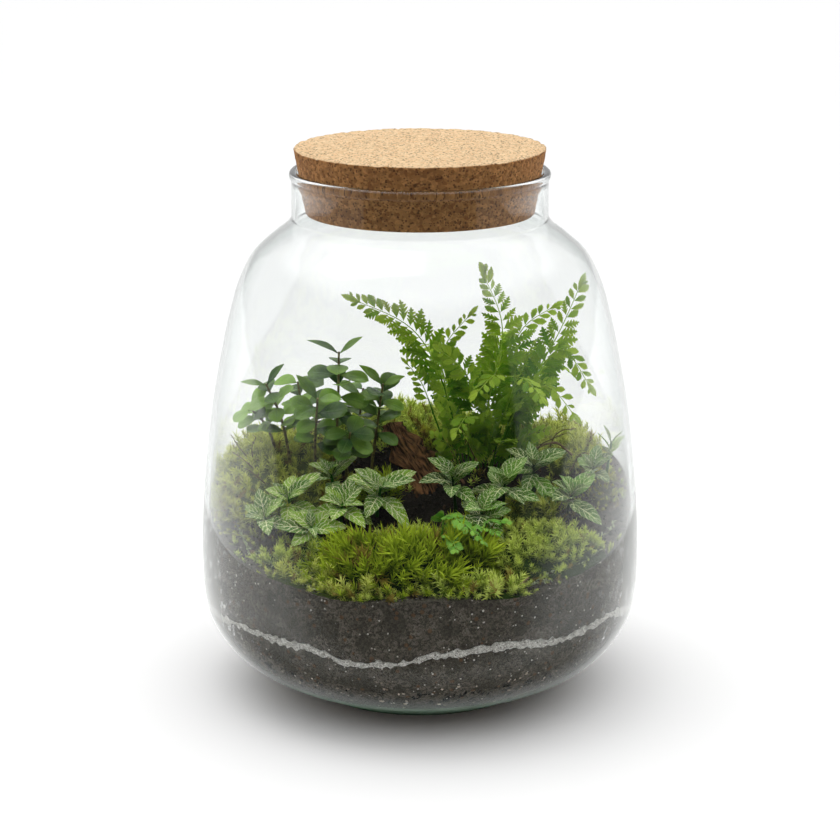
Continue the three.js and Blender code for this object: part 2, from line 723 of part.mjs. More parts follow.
function veinedStem(name, { base, crown, yaw, pairs, length }) {
  plantLeafyStem(name, VEINED, {
    base,
    tip: crown,
    radius: 1.1,
    leaves: leafPairs(yaw, [
      { at: 0.97, length: length * 0.62, width: length * 0.34, rise: 0.75 },
      { at: 0.86, length, width: length * 0.56, rise: 0.3 },
      { at: 0.7, length: length * 0.92, width: length * 0.52, rise: 0.1 },
    ].slice(0, pairs)),
  });
}

function shrubStem(name, { base, bend, tip, yaw, pairs, length }) {
  const steps = [{ at: 0.985, length, width: length * 0.42, rise: 0.7 }];
  for (let i = 1; i < pairs; i += 1) {
    steps.push({
      at: 0.985 - i * 0.2,
      length: length * (1 - 0.04 * i),
      width: length * 0.72,
      rise: 0.55 - 0.12 * i,
      fold: 0.06,
    });
  }
  plantLeafyStem(name, SHRUB, { base, bend, tip, radius: 0.9, leaves: leafPairs(yaw, steps) });
}

function sprig() {
  plantFrond('sprig_front', FERN, {
    base: [12, -60], bend: [[14, -66, 117], [22, -78, 118]], tip: [36, -92, 107],
    from: 0.3, pairs: 6, leaflet: 8, facing: UP,
  });
}

function slenderShoot() {
  plantLeafyStem('slender_shoot', VEINED, {
    base: [106, -4], tip: [109, -5, 142], radius: 1,
    leaves: leafPairs(60, [
      { at: 0.97, length: 11, width: 4, rise: 1.2 },
      { at: 0.75, length: 15, width: 6, rise: 0.8 },
    ]),
  });
}

// Assembly

const terrarium = new THREE.Group();

function addPart(name, solid, colour, roughness, extra = {}) {
  const material = new THREE.MeshStandardMaterial({ color: colour, roughness, metalness: 0, ...extra });
  const mesh = new THREE.Mesh(geometryOf(solid), material);
  mesh.name = name;
  terrarium.add(mesh);
}

const jar = jarSolid();
addPart('glass_jar', jar, 0xf2f8f6, 0.05, { transparent: true, opacity: 0.35 });
addPart('cork_lid', corkSolid(), 0xc39a68, 0.9);
addPart('gravel_layer', layer(floorTop, gravelTop, [], GRAVEL_RINGS, 2), GRAVEL, 0.9);
addPart('lower_soil', layer(gravelTop, sandBottom, GRAVEL_RINGS, FEW_RINGS, 3), SOIL, 0.95);
addPart('sand_layer', layer(sandBottom, sandTop, FEW_RINGS, FEW_RINGS, 1), SAND, 0.9);

const room = lathed([[0, GLASS_FLOOR], ...INNER, [0, NECK_FOOT_HEIGHT]].map(([r, z]) => (
  [Math.max(0, r - 2 * GAP), z])));
const rawSoil = layer(sandTop, soilTop, FEW_RINGS, MANY_RINGS, 2);
const soilCut = rawSoil.translate([0, 0, GAP]);
const bark = largest(barkSolid(BARK).subtract(soilCut));
addPart('driftwood', bark, WOOD, 0.85);
stand(jar);
stand(rawSoil);
stand(bark);

const cushions = Object.entries(MOSS_CUSHIONS).map(([name, spec]) => {
  const solid = largest(mossCushion(spec).subtract(soilCut).intersect(room));
  stand(solid);
  return { name, solid };
});

for (const [name, { radius, points }] of Object.entries(TWIGS)) {
  const curve = twigCurve(points);
  const solid = tube(curve, radius, 5, 4);
  holes.push(tube(curve, radius + GAP, 5, 4));
  stand(solid);
  addPart(name, solid, TWIG, 0.85);
}

FRONDS.forEach((spec, i) => plantFrond(`fern_frond_${i + 1}`, FERN, spec));
LOW_FRONDS.forEach((spec, i) => plantFrond(`fern_low_frond_${i + 1}`, FERN, { ...spec, facing: UP }));
SHRUB_STEMS.forEach((spec, i) => shrubStem(`shrub_stem_${i + 1}`, spec));
VEINED_LEFT.forEach((spec, i) => veinedStem(`veined_left_${i + 1}`, spec));
VEINED_RIGHT.forEach((spec, i) => veinedStem(`veined_right_${i + 1}`, spec));
sprig();
slenderShoot();

for (const plant of growing) {
  const solid = plant.whole(plant.grow().filter((blade) => blade));
  stand(solid);
  addPart(plant.name, solid, plant.colour, 0.6);
}

const drilled = (solid) => largest(holes.reduce((rest, hole) => rest.subtract(hole), solid));
for (const { name, solid } of cushions) addPart(name, drilled(solid), MOSS, 0.95);
addPart('upper_soil', drilled(rawSoil), SOIL, 0.95);

export default terrarium;
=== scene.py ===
import math

import bpy
import numpy as np
from bpy.props import FloatProperty, FloatVectorProperty, IntProperty, PointerProperty
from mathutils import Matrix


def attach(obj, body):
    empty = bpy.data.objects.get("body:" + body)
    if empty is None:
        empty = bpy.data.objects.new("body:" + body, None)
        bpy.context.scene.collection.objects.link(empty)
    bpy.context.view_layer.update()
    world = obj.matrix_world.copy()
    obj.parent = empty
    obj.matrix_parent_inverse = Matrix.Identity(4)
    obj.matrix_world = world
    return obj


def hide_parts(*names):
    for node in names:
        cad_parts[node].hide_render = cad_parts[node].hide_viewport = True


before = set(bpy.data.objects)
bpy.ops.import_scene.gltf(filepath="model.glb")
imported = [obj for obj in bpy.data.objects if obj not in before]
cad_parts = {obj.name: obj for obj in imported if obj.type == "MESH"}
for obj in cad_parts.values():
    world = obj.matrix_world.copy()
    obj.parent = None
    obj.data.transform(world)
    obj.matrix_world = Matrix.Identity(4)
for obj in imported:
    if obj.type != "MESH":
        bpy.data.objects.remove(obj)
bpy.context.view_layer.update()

bl_info = {
    "name": "Glass Plant Terrarium",
    "version": (1, 0, 0),
    "blender": (4, 5, 0),
    "location": "3D View > Sidebar > Terrarium",
    "description": "Dresses a corked jar terrarium: glass, cork, soil, moss, fern, shrub and veined plants",
    "category": "Object",
}

# All sizes and places below are in millimetres, in the frame's own axes; MM brings them to metres
MM = 0.001

# Jar and lid
GAP = 0.3
BELLY_RADIUS = 125
NECK_RADIUS = 71.4
RIM_HEIGHT = 297
RIM_BEAD = 1.1
GLASS_WALL = 3
GLASS_FLOOR = 8
PLAIN_WALL_FROM = 60
CORK_TOP_RADIUS = 70.1
CORK_BOTTOM_RADIUS = 63.4
CORK_TOP = 309.8
CORK_BOTTOM = 273.6
CORK_EDGE = 0.8
CORK_TAPER = (CORK_TOP_RADIUS - CORK_BOTTOM_RADIUS) / (CORK_TOP - CORK_BOTTOM)

# Outer wall: radius and height
OUTER = [
    (66, 0), (81, 8), (99, 17), (113, 29.5), (121.5, 44), (124.5, 59), (125, 84), (123.5, 112),
    (120.8, 139), (117.5, 165), (112.9, 190), (107.4, 215), (101.1, 236), (93, 251), (82, 261),
    (74.4, 267), (71.4, 271),
]

# Fill
GRAVEL_TOP = 19
GRAVEL_RIPPLE = 1.2
SAND_MIDDLE = 56
SAND_THICKNESS = 4
SAND_RAGGED = 1.2
SOIL_FRONT = 87
SOIL_RISE = 38
FRONT_EDGE = -118
RISE_LENGTH = 170
SOIL_RIPPLE = 1.4

# How far the fill presses into the glass here, so that no film of air shows between them
PRESS = 0.12

# The sand at the glass: turn from the front in degrees, and height of its middle
SAND_LINE = [
    (-180, 56), (-120, 58), (-72, 53), (-50, 56), (-30, 55.5), (-18, 50), (-8, 51.5),
    (6, 57), (20, 60), (36, 56.5), (56, 59), (80, 52.5), (130, 57), (180, 56),
]

# Ground cover. Cushions: middle, how far they reach both ways, height over the soil, seed, kind
MOSS_RIM = 2.5
MOSS_CUSHIONS = {
    "moss_front": dict(centre=(-10, -88), reach=(42, 21), height=12, seed=1, kind="coarse"),
    "moss_front_right": dict(centre=(69, -70), reach=(33, 20), height=12, seed=2, kind="feathery"),
    "moss_left": dict(centre=(-84, 8), reach=(33, 54), height=8, seed=3, kind="olive"),
    "moss_back": dict(centre=(-4, 72), reach=(42, 31), height=13, seed=4, kind="feathery"),
    "moss_back_right": dict(centre=(78, 54), reach=(32, 30), height=7, seed=5, kind="olive"),
}

# Driftwood, and twigs: radius, and places with their height above the soil
BARK_FOOT = (14, -20, 96)
BARK_HEAD = (-14, 20, 146)
BARK_HALF_WIDTH = 15
BARK_HALF_DEPTH = 6
TWIGS = {
    "twig_front_left": (0.9, [(-66, -82, 0.6), (-56, -94, 0.4), (-44, -104, 0.8)]),
    "twig_front_right": (0.8, [(38, -106, 0.5), (50, -100, 0.3), (58, -95, 4)]),
    "twig_back_right": (0.9, [(52, 8, -4), (62, 10, 12), (78, 12, 17), (88, 10, 10)]),
}

# Kinds of moss: its shoots, how closely and how slanted they stand, and its colours from foot to tip
MOSS_KINDS = {
    "coarse": dict(
        shoot=dict(leaves=18, height=10.5, spread=0.95, leaf_length=7.6, leaf_width=1.4),
        spacing=1.45, lean=0.3, name="bright moss",
        colours=((0.008, 0.026, 0.002), (0.09, 0.2, 0.008), (0.5, 0.62, 0.04))),
    "feathery": dict(
        shoot=dict(leaves=26, height=8, spread=1.25, leaf_length=3.4, leaf_width=0.7),
        spacing=1.2, lean=0.42, name="feathery moss",
        colours=((0.025, 0.055, 0.008), (0.25, 0.37, 0.04), (0.8, 0.9, 0.2))),
    "yellow": dict(
        shoot=dict(leaves=20, height=5, spread=1.1, leaf_length=3.2, leaf_width=0.8),
        spacing=1.0, lean=0.35, name="yellow moss",
        colours=((0.05, 0.06, 0.005), (0.22, 0.27, 0.015), (0.6, 0.6, 0.08))),
    "olive": dict(
        shoot=dict(leaves=24, height=9, spread=1.3, leaf_length=3.6, leaf_width=0.7),
        spacing=1.35, lean=0.45, name="olive moss",
        colours=((0.07, 0.1, 0.018), (0.4, 0.47, 0.06), (0.82, 0.86, 0.2))),
}

# Small tufts of moss without a solid
MOSS_TUFTS = [
    dict(centre=(4, 25), reach=(12, 9), height=18, seed=6, kind="yellow"),
    dict(centre=(103, -10), reach=(10, 12), height=6, seed=7, kind="yellow"),
    dict(centre=(-109, -30), reach=(7, 17), height=9, seed=8, kind="yellow"),
    dict(centre=(-66, -72), reach=(20, 9), height=4, seed=9, kind="feathery"),
    dict(centre=(22, -60), reach=(16, 10), height=5, seed=10, kind="coarse"),
    dict(centre=(58, -32), reach=(22, 10), height=5, seed=11, kind="olive"),
    dict(centre=(-6, -56), reach=(15, 11), height=5, seed=12, kind="feathery"),
    dict(centre=(-24, -14), reach=(10, 10), height=6, seed=13, kind="coarse"),
    dict(centre=(88, 24), reach=(16, 16), height=9, seed=14, kind="olive"),
    dict(centre=(-62, -94), reach=(26, 7), height=4, seed=15, kind="olive"),
    dict(centre=(-34, -108), reach=(24, 6), height=4, seed=16, kind="olive"),
    dict(centre=(26, -107), reach=(28, 7), height=4, seed=17, kind="feathery"),
]

# Creeping wisps: places on the soil
WISPS = [
    [(-100, -46), (-93, -60), (-82, -74), (-70, -88)],
    [(-92, -62), (-80, -68), (-70, -82), (-52, -98)],
    [(-82, -74), (-74, -68), (-64, -74), (-58, -86)],
    [(-70, -60), (-62, -76), (-66, -92), (-56, -104)],
    [(-104, -34), (-98, -50), (-90, -70), (-84, -78)],
    [(62, -92), (72, -84), (88, -76), (98, -62)],
    [(86, -56), (94, -50), (104, -46), (108, -36)],
    [(30, -98), (42, -104), (56, -98), (70, -92)],
]

# Dry sprigs: places with their height above the soil
DRY_SPRIGS = [
    [(-92, -2, 4), (-98, -6, 14), (-106, -8, 22)],
    [(-94, 8, 4), (-97, 4, 16), (-94, 0, 26)],
    [(-86, -12, 4), (-92, -18, 14), (-99, -20, 20)],
    [(-98, 14, 4), (-105, 10, 16), (-109, 8, 24)],
    [(60, 14, 2), (70, 6, 20), (82, -2, 30)],
    [(72, 22, 2), (80, 14, 22), (90, 8, 27)],
    [(86, 6, 2), (92, 0, 16), (98, -8, 20)],
    [(38, 0, 2), (30, -8, 22), (20, -12, 44)],
]

# Shrub stems: foot, way point, tip, turn of the top pair of leaves, pairs, leaf length
SHRUB_STEMS = [
    ((-50, 8), (-47, 6, 156), (-46, 5, 192), 80, 4, 19),
    ((-60, -2), (-59, -12, 149), (-57, -22, 172), 60, 3, 18),
    ((-74, 4), (-79, 1, 154), (-87, -5, 176), 100, 3, 17),
    ((-28, 10), (-24, 6, 152), (-21, 2, 174), 70, 3, 17),
    ((-82, 14), (-88, 11, 146), (-97, 5, 159), 110, 2, 14),
    ((-62, 26), (-68, 27, 150), (-71, 27, 169), 40, 3, 17),
    ((-38, 24), (-35, 28, 149), (-33, 31, 164), 30, 3, 16),
    ((-42, -6), (-41, -14, 139), (-39, -22, 152), 75, 2, 16),
]

# White-veined plants: foot, crown, turn of the top pair, pairs, leaf length
VEINED_LEFT = [
    ((-24, -32), (-22, -38, 125), 30, 3, 22),
    ((-44, -42), (-43, -48, 118), 75, 3, 20),
    ((-72, -32), (-73, -38, 119), 50, 3, 20),
    ((-84, -46), (-85, -52, 112), 85, 2, 18),
    ((-60, -56), (-59, -64, 110), 20, 3, 18),
    ((-48, -18), (-50, -22, 128), 40, 2, 19),
]
VEINED_RIGHT = [
    ((46, -36), (47, -42, 130), 75, 3, 21),
    ((20, -30), (18, -36, 131), 40, 3, 20),
    ((34, -52), (34, -60, 119), 95, 3, 19),
    ((82, -34), (84, -40, 122), 60, 3, 20),
    ((64, -16), (64, -22, 134), 20, 3, 21),
    ((98, -10), (98, -14, 130), 80, 2, 17),
]

# Fern fronds: foot, way points, tip, where the blade begins, pairs of side leaflets, their length
FRONDS = [
    ((22, 24), [(14, 14, 169), (-4, 4, 205)], (-42, -10, 228), 0.42, 8, 19),
    ((27, 15), [(16, 6, 164), (13, -2, 194)], (31, -15, 222), 0.4, 6, 14),
    ((34, 30), [(42, 24, 169), (47, 16, 204)], (34, 5, 242), 0.38, 7, 20),
    ((46, 26), [(64, 22, 169), (80, 15, 202)], (93, 7, 236), 0.36, 7, 19),
    ((51, 18), [(64, 10, 169), (80, 4, 194)], (99, -6, 170), 0.36, 7, 17),
    ((45, 11), [(56, 0, 162), (71, -10, 176)], (89, -25, 159), 0.34, 5, 17),
    ((42, 35), [(50, 32, 174), (60, 28, 201)], (82, 28, 216), 0.4, 6, 17),
    ((17, 17), [(8, 8, 154), (0, 3, 176)], (-10, -3, 190), 0.62, 3, 10),
    ((31, 21), [(31, 10, 162), (25, 0, 182)], (8, -14, 200), 0.4, 6, 17),
]
LOW_FRONDS = [
    ((35, 12), [(40, 2, 169), (42, -12, 183)], (28, -36, 175), 0.36, 6, 18),
    ((41, 8), [(50, -2, 164), (56, -14, 182)], (70, -38, 173), 0.36, 6, 18),
    ((28, 8), [(27, -4, 152), (26, -16, 160)], (18, -34, 152), 0.36, 5, 15),
    ((36, 40), [(42, 50, 169), (46, 56, 186)], (52, 74, 188), 0.36, 6, 18),
    ((48, 38), [(62, 44, 164), (76, 48, 176)], (94, 54, 164), 0.36, 6, 17),
    ((26, 38), [(16, 46, 164), (10, 52, 182)], (-6, 62, 184), 0.36, 6, 17),
]

# Young fronds low in the middle of the fern, of the same build
YOUNG_FRONDS = [
    ((30, 10), [(30, 0, 140)], (24, -14, 150), 0.3, 4, 14),
    ((40, 12), [(46, 2, 138)], (54, -14, 146), 0.3, 4, 14),
    ((48, 16), [(60, 8, 140)], (74, -4, 150), 0.3, 4, 14),
    ((22, 14), [(16, 4, 138)], (6, -8, 146), 0.3, 4, 13),
    ((34, 14), [(36, 2, 150)], (38, -12, 172), 0.3, 4, 15),
    ((52, 14), [(60, 4, 152)], (66, -8, 166), 0.3, 4, 15),
    ((38, 18), [(44, 6, 150)], (58, -8, 166), 0.4, 5, 12),
    ((30, 16), [(34, 2, 148)], (40, -14, 162), 0.4, 5, 12),
    ((44, 20), [(56, 12, 156)], (72, 2, 178), 0.4, 5, 13),
    ((24, 20), [(18, 8, 152)], (8, -4, 168), 0.45, 5, 12),
    ((34, 24), [(38, 12, 164)], (46, -2, 192), 0.4, 6, 14),
    ((40, 28), [(54, 22, 166)], (66, 12, 198), 0.4, 6, 14),
    ((26, 28), [(22, 22, 164)], (14, 14, 192), 0.45, 5, 13),
    ((52, 26), [(66, 26, 162)], (82, 22, 184), 0.4, 5, 14),
]

# The creeping sprig, given in the same way
SPRIG = ((12, -60), [(14, -66, 117), (22, -78, 118)], (36, -92, 109), 0.3, 5, 11)
SPRIG_BRANCHES = [
    ((20, -68), [(24, -74, 113)], (44, -82, 113), 0.25, 5, 10),
    ((14, -70), [(16, -80, 110)], (20, -98, 107), 0.25, 5, 10),
    ((26, -64), [(34, -68, 114)], (50, -72, 116), 0.25, 5, 10),
]

# The slender shoot; its pairs of leaves: share of the stem, turn, length, width, rise
SHOOT_FOOT = (106, -4)
SHOOT_TIP = (109, -5, 142)
SHOOT_PAIRS = [(0.97, 60, 11, 4, 1.2), (0.75, 150, 15, 6, 0.8), (0.86, 105, 13, 5, 1.0)]

# Habit shared by the plants
ROOT_DEPTH = 7
ROOT_SHARE = 0.25
STALK_RADIUS = 0.62
LEAFLET_ANGLE = math.radians(58)
LOBED_FROM = 9
NEXT_LEAF_TURN = 2.4
UP = np.array([0.0, 0.0, 1.0])
TO_FRONT = np.array([0.0, -1.0, 0.35]) / math.hypot(1, 0.35)

# Looks of the glass: bands of heights over which the green tint, the painted glow of light in the foot and
# heel, the painted haze of reflected light and the painted shade along the edges come in and fade out
THICK_TINT = (8, 26)
FOOT_GLOW_BAND = (14, 22)
HEEL_GLOW_BAND = (0, 40)
HAZE_FROM = (30, 70)
HAZE_TO = (90, 150)
EDGE_SHADE_FROM = (85, 130)

# Looks of the fill and the moss: radii over which a painted shade darkens the soil away from the glass, under
# the plants, bend of the edges of its grains, and the share of dry shoots
SHADE_AWAY_FROM_GLASS = (90, 112)
GRAIN_WARP = 0.6
DRY_SHARE = 0.07

# Angle in radians for each metre of height, which draws fine level lines of painted light in the foot of the
# glass
GLOW_LINE_RATE = 1900

# Soft lights in metres and degrees: name, place, turn, size, power
SOFTBOXES = [
    ("left softbox", (-0.45, 0.1, 0.55), (0, -90, 0), (1.1, 1.0), 0.9),
    ("right softbox", (0.45, 0.1, 0.55), (0, 90, 0), (1.1, 1.0), 0.9),
    ("top softbox", (-0.42, 0.15, 1.5), (0, -14, 0), (1.1, 0.6), 3.6),
]

# Camera, in metres and degrees, and the photograph's frame of 840 by 840 pixels
IMAGE_SIDE = 840
FOCAL_PIXELS = 2400
SENSOR = 36
CAMERA_PLACE = (0, -1.317, 0.516)
CAMERA_DOWN = 15.4


# Numbers and noise

# Large odd numbers that scramble a cell's place and a seed into a draw
SCRAMBLE_X, SCRAMBLE_Y, SCRAMBLE_Z = 374761393, 668265263, 1442695041
SCRAMBLE_SEED, SCRAMBLE_ALL = 974711, 1274126177


def smooth(t):
    """0 to 1 with level ends."""
    t = np.clip(t, 0, 1)
    return t * t * (3 - 2 * t)


def unit(v):
    v = np.asarray(v, float)
    return v / np.maximum(np.linalg.norm(v, axis=-1, keepdims=True), 1e-12)


def noise(points, size, seed=0):
    """Smooth noise between -1 and 1, with lumps of a size."""
    q = np.asarray(points, float) / size
    cell = np.floor(q).astype(np.int64)
    f = q - cell
    f = f * f * (3 - 2 * f)
    total = np.zeros(q.shape[:-1])
    for corner in range(8):
        step = np.array([corner & 1, (corner >> 1) & 1, corner >> 2])
        at = cell + step
        n = at[..., 0] * SCRAMBLE_X + at[..., 1] * SCRAMBLE_Y + at[..., 2] * SCRAMBLE_Z + seed * SCRAMBLE_SEED
        n = (n ^ (n >> 13)) * SCRAMBLE_ALL & 0xFFFFFFFF
        value = ((n ^ (n >> 16)) & 0xFFFF) / 32767.5 - 1
        total += value * np.prod(np.where(step == 1, f, 1 - f), axis=-1)
    return total


def noise_shift(points, size, seed):
    """Three noises side by side, which move a point."""
    return np.stack([noise(points, size, seed + k) for k in range(3)], 1)


def turns(sides):
    """Angles of the sides of a full circle."""
    return np.linspace(0, 2 * np.pi, sides, endpoint=False)


def any_turn(rng, count):
    return rng.uniform(0, 2 * np.pi, count)


def round_jar(radius, turn):
    """x and y at a radius and a turn from the front."""
    return radius * np.sin(turn), -radius * np.cos(turn)


def scattered(rng, count, reach):
    """x and y of places spread evenly over a disc."""
    radius = reach * np.sqrt(rng.random(count))
    return round_jar(radius, any_turn(rng, count))


def numbered(name, specs):
    """The names of the nodes that like parts stand for."""
    return [f"{name}_{i + 1}" for i in range(len(specs))]


class Path:
    """A smooth path through points, read by the share of its length."""

    def __init__(self, points, samples=48):
        p = np.array(points, float)
        wide = np.vstack([2 * p[0] - p[1], p, 2 * p[-1] - p[-2]])
        u = np.linspace(0, 1, samples)[:, None]
        runs = []
        for i in range(len(p) - 1):
            a, b, c, d = wide[i:i + 4]
            ta, tb, tc = (max(np.linalg.norm(q - r), 1e-6) ** 0.5 for q, r in ((b, a), (c, b), (d, c)))
            start = ((b - a) / ta - (c - a) / (ta + tb) + (c - b) / tb) * tb
            end = ((c - b) / tb - (d - b) / (tb + tc) + (d - c) / tc) * tb
            runs.append(b + start * u + (3 * (c - b) - 2 * start - end) * u ** 2
                        + (2 * (b - c) + start + end) * u ** 3)
        self.points = np.vstack(runs)
        steps = np.linalg.norm(np.diff(self.points, axis=0), axis=1)
        self.shares = np.concatenate([[0], np.cumsum(steps)])
        self.length = self.shares[-1]
        self.shares = self.shares / self.length

    def at(self, share):
        return np.stack([np.interp(share, self.shares, self.points[:, k]) for k in range(3)], axis=-1)

    def along(self, share):
        share = np.asarray(share, float)
        return unit(self.at(np.minimum(share + 0.01, 1)) - self.at(np.maximum(share - 0.01, 0)))


# Heights of the fill and the room in the jar

def glass_thickness(z):
    """Thick in the floor and thinning out up to the plain wall."""
    low = np.maximum(0, 1 - z / PLAIN_WALL_FROM)
    return GLASS_WALL + (GLASS_FLOOR - GLASS_WALL) * low * low


def wall_profile():
    """Outer and inner wall as radius and height, smooth and never past the belly."""
    run = Path([(r, z, 0) for r, z in OUTER], 7).points[:, :2]
    keep = np.concatenate([[True], np.linalg.norm(np.diff(run, axis=0), axis=1) > 1e-6])
    outer = run[keep]
    outer[:, 0] = np.minimum(outer[:, 0], BELLY_RADIUS)
    slope = np.gradient(outer, axis=0)
    normal = unit(np.stack([slope[:, 1], -slope[:, 0]], axis=1))
    inner = outer - normal * glass_thickness(outer[:, 1])[:, None]
    inner = inner[inner[:, 1] >= GLASS_FLOOR]
    return outer, inner


WALL_OUTER, WALL_INNER = wall_profile()


def glass_radius(z):
    return np.interp(z, WALL_INNER[:, 1], WALL_INNER[:, 0])


def room_radius(z):
    """How far out a solid thing may reach at a height."""
    return glass_radius(z) - 1.3 * GAP


def keep_inside(points, space):
    """Points drawn in towards the axis where they come nearer to the room's edge than a space."""
    reach = np.maximum(np.hypot(points[..., 0], points[..., 1]), 1e-6)
    points[..., :2] *= np.minimum(1, (room_radius(points[..., 2]) - space) / reach)[..., None]
    return points


def sand_line(azimuth):
    """Height of the sand at the glass."""
    low = np.array([a for a, _ in SAND_LINE])
    heights = np.array([z for _, z in SAND_LINE])
    i = np.clip(np.searchsorted(low, azimuth) - 1, 0, len(low) - 2)
    t = smooth((azimuth - low[i]) / (low[i + 1] - low[i]))
    return heights[i] + (heights[i + 1] - heights[i]) * t


def gravel_top(x, y):
    return GRAVEL_TOP + GRAVEL_RIPPLE * np.sin(x / 9 + 1) * np.cos(y / 8)


def sand_top(x, y):
    azimuth = np.degrees(np.arctan2(x, -y))
    reach = smooth(np.hypot(x, y) / BELLY_RADIUS)
    return SAND_MIDDLE + (sand_line(azimuth) - SAND_MIDDLE) * reach + SAND_THICKNESS / 2


def sand_bottom(x, y):
    return sand_top(x, y) - SAND_THICKNESS


def ragged(height, seed):
    """A height of the sand with an uneven, grainy edge."""
    def rough(x, y):
        place = np.stack(np.broadcast_arrays(x, y, 0.0 * x), -1)
        return height(x, y) + SAND_RAGGED * (0.8 * noise(place, 6, seed) + 1.1 * noise(place, 2.2, seed + 1))
    return rough


SAND_FOOT = ragged(sand_bottom, 52)
SAND_CREST = ragged(sand_top, 54)


def soil_top(x, y):
    rise = SOIL_RISE * smooth((y - FRONT_EDGE) / RISE_LENGTH)
    return SOIL_FRONT + rise + SOIL_RIPPLE * np.sin(x / 15 + 0.8) * np.cos(y / 17)


def above_soil(points):
    """A path through places given by their height above the soil."""
    return Path([(x, y, soil_top(x, y) + above) for x, y, above in points])


# Meshes

class Form:
    """Points, triangles and a mark on each point, gathered into one mesh."""

    def __init__(self):
        self.points = []
        self.triangles = []
        self.marks = []
        self.count = 0

    def add(self, points, triangles, marks=(0, 0, 0)):
        points = np.asarray(points, float).reshape(-1, 3)
        self.points.append(points)
        self.triangles.append(np.asarray(triangles, np.int64).reshape(-1, 3) + self.count)
        self.marks.append(np.broadcast_to(marks, points.shape))
        self.count += len(points)

    def add_many(self, points, triangles, marks):
        """Copies of one template: points and marks as (copies, points, 3)."""
        copies, size = points.shape[:2]
        shifts = (np.arange(copies) * size)[:, None, None]
        self.add(points.reshape(-1, 3), (triangles[None] + shifts).reshape(-1, 3), marks.reshape(-1, 3))


def make_piece(name, form, material, nodes=(), sharp_from=60):
    """One object of the terrarium, riding on its body and standing for its nodes."""
    if not form.points:
        raise RuntimeError(f"{name} has no shape")
    points = np.vstack(form.points) * MM
    triangles = np.vstack(form.triangles).astype(np.int32)
    mesh = bpy.data.meshes.new(name)
    mesh.vertices.add(len(points))
    mesh.vertices.foreach_set("co", points.astype(np.float32).ravel())
    mesh.loops.add(triangles.size)
    mesh.loops.foreach_set("vertex_index", triangles.ravel())
    mesh.polygons.add(len(triangles))
    mesh.polygons.foreach_set("loop_start", np.arange(0, triangles.size, 3, dtype=np.int32))
    mesh.update(calc_edges=True)
    marks = mesh.attributes.new("leaf", "FLOAT_VECTOR", "POINT")
    marks.data.foreach_set("vector", np.vstack(form.marks).astype(np.float32).ravel())
    mesh.polygons.foreach_set("use_smooth", np.ones(len(triangles), bool))
    mesh.set_sharp_from_angle(angle=math.radians(sharp_from))
    mesh.materials.append(material)
    piece = bpy.data.objects.new(name, mesh)
    bpy.context.scene.collection.objects.link(piece)
    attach(piece, "root")
    if nodes:
        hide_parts(*nodes)
    return piece


def ring_faces(rings, sides, first, last):
    """Triangles of a closed skin: a first point, rings of points, and a last point."""
    j = np.arange(sides)
    k = (j + 1) % sides
    faces = [np.stack([np.full(sides, first), 1 + k, 1 + j], 1)]
    for i in range(rings - 1):
        a, b = 1 + i * sides + j, 1 + i * sides + k
        c, d = b + sides, a + sides
        faces += [np.stack([a, b, c], 1), np.stack([a, c, d], 1)]
    top = 1 + (rings - 1) * sides
    faces.append(np.stack([np.full(sides, last), top + j, top + k], 1))
    return np.vstack(faces)


def add_lathe(form, profile, sides, shape=None):
    """A turned solid from its lowest point on the axis to its highest; shape moves its points."""
    profile = np.array(profile, float)
    turn = turns(sides)
    r, z = profile[1:-1, 0], profile[1:-1, 1]
    ring = np.stack([
        r[:, None] * np.sin(turn), -r[:, None] * np.cos(turn), np.broadcast_to(z[:, None], (len(r), sides)),
    ], -1).reshape(-1, 3)
    points = np.vstack([[0, 0, profile[0, 1]], ring, [0, 0, profile[-1, 1]]])
    if shape is not None:
        points = shape(points)
    form.add(points, ring_faces(len(r), sides, 0, len(points) - 1))


def add_tube(form, points, radii, sides=6, mark=(0, 0, 0)):
    """A round closed stem through points."""
    points = np.asarray(points, float)
    radii = np.broadcast_to(radii, len(points))
    ahead = unit(np.gradient(points, axis=0))
    across = unit(np.cross(ahead, UP) + np.array([1e-4, 0, 0]))
    other = np.cross(across, ahead)
    turn = turns(sides)
    circle = np.cos(turn)[:, None, None] * across + np.sin(turn)[:, None, None] * other
    rings = (points[None] + circle * radii[None, :, None]).transpose(1, 0, 2).reshape(-1, 3)
    skin = np.vstack([points[0], rings, points[-1]])
    form.add(skin, ring_faces(len(points), sides, 0, len(skin) - 1), mark)


# Leaves: an outline gives half widths at shares of the length

OBOVATE = [(0, 0.05), (0.09, 0.09), (0.22, 0.46), (0.42, 0.84), (0.63, 1), (0.8, 0.9), (0.92, 0.58), (1, 0)]
OVATE = [
    (0, 0.06), (0.07, 0.2), (0.17, 0.58), (0.29, 0.86), (0.43, 1), (0.58, 0.98), (0.73, 0.83), (0.85, 0.6),
    (0.94, 0.33), (1, 0),
]
NARROW = [(0, 0.06), (0.12, 0.26), (0.32, 0.82), (0.5, 1), (0.7, 0.8), (0.88, 0.36), (1, 0)]
LOBED = [
    (0, 0.05), (0.07, 0.08), (0.13, 0.5), (0.24, 0.95), (0.29, 0.86), (0.32, 0.26), (0.38, 0.7),
    (0.46, 1), (0.51, 0.9), (0.54, 0.24), (0.6, 0.66), (0.67, 0.84), (0.71, 0.72), (0.75, 0.2),
    (0.81, 0.5), (0.86, 0.46), (0.89, 0.16), (0.95, 0.2), (1, 0),
]
TOOTHED = [
    (0, 0.08), (0.08, 0.3), (0.2, 0.7), (0.34, 0.95), (0.41, 0.66), (0.52, 0.98), (0.57, 0.74), (0.67, 0.92),
    (0.72, 0.6), (0.82, 0.66), (0.87, 0.36), (0.94, 0.3), (1, 0),
]


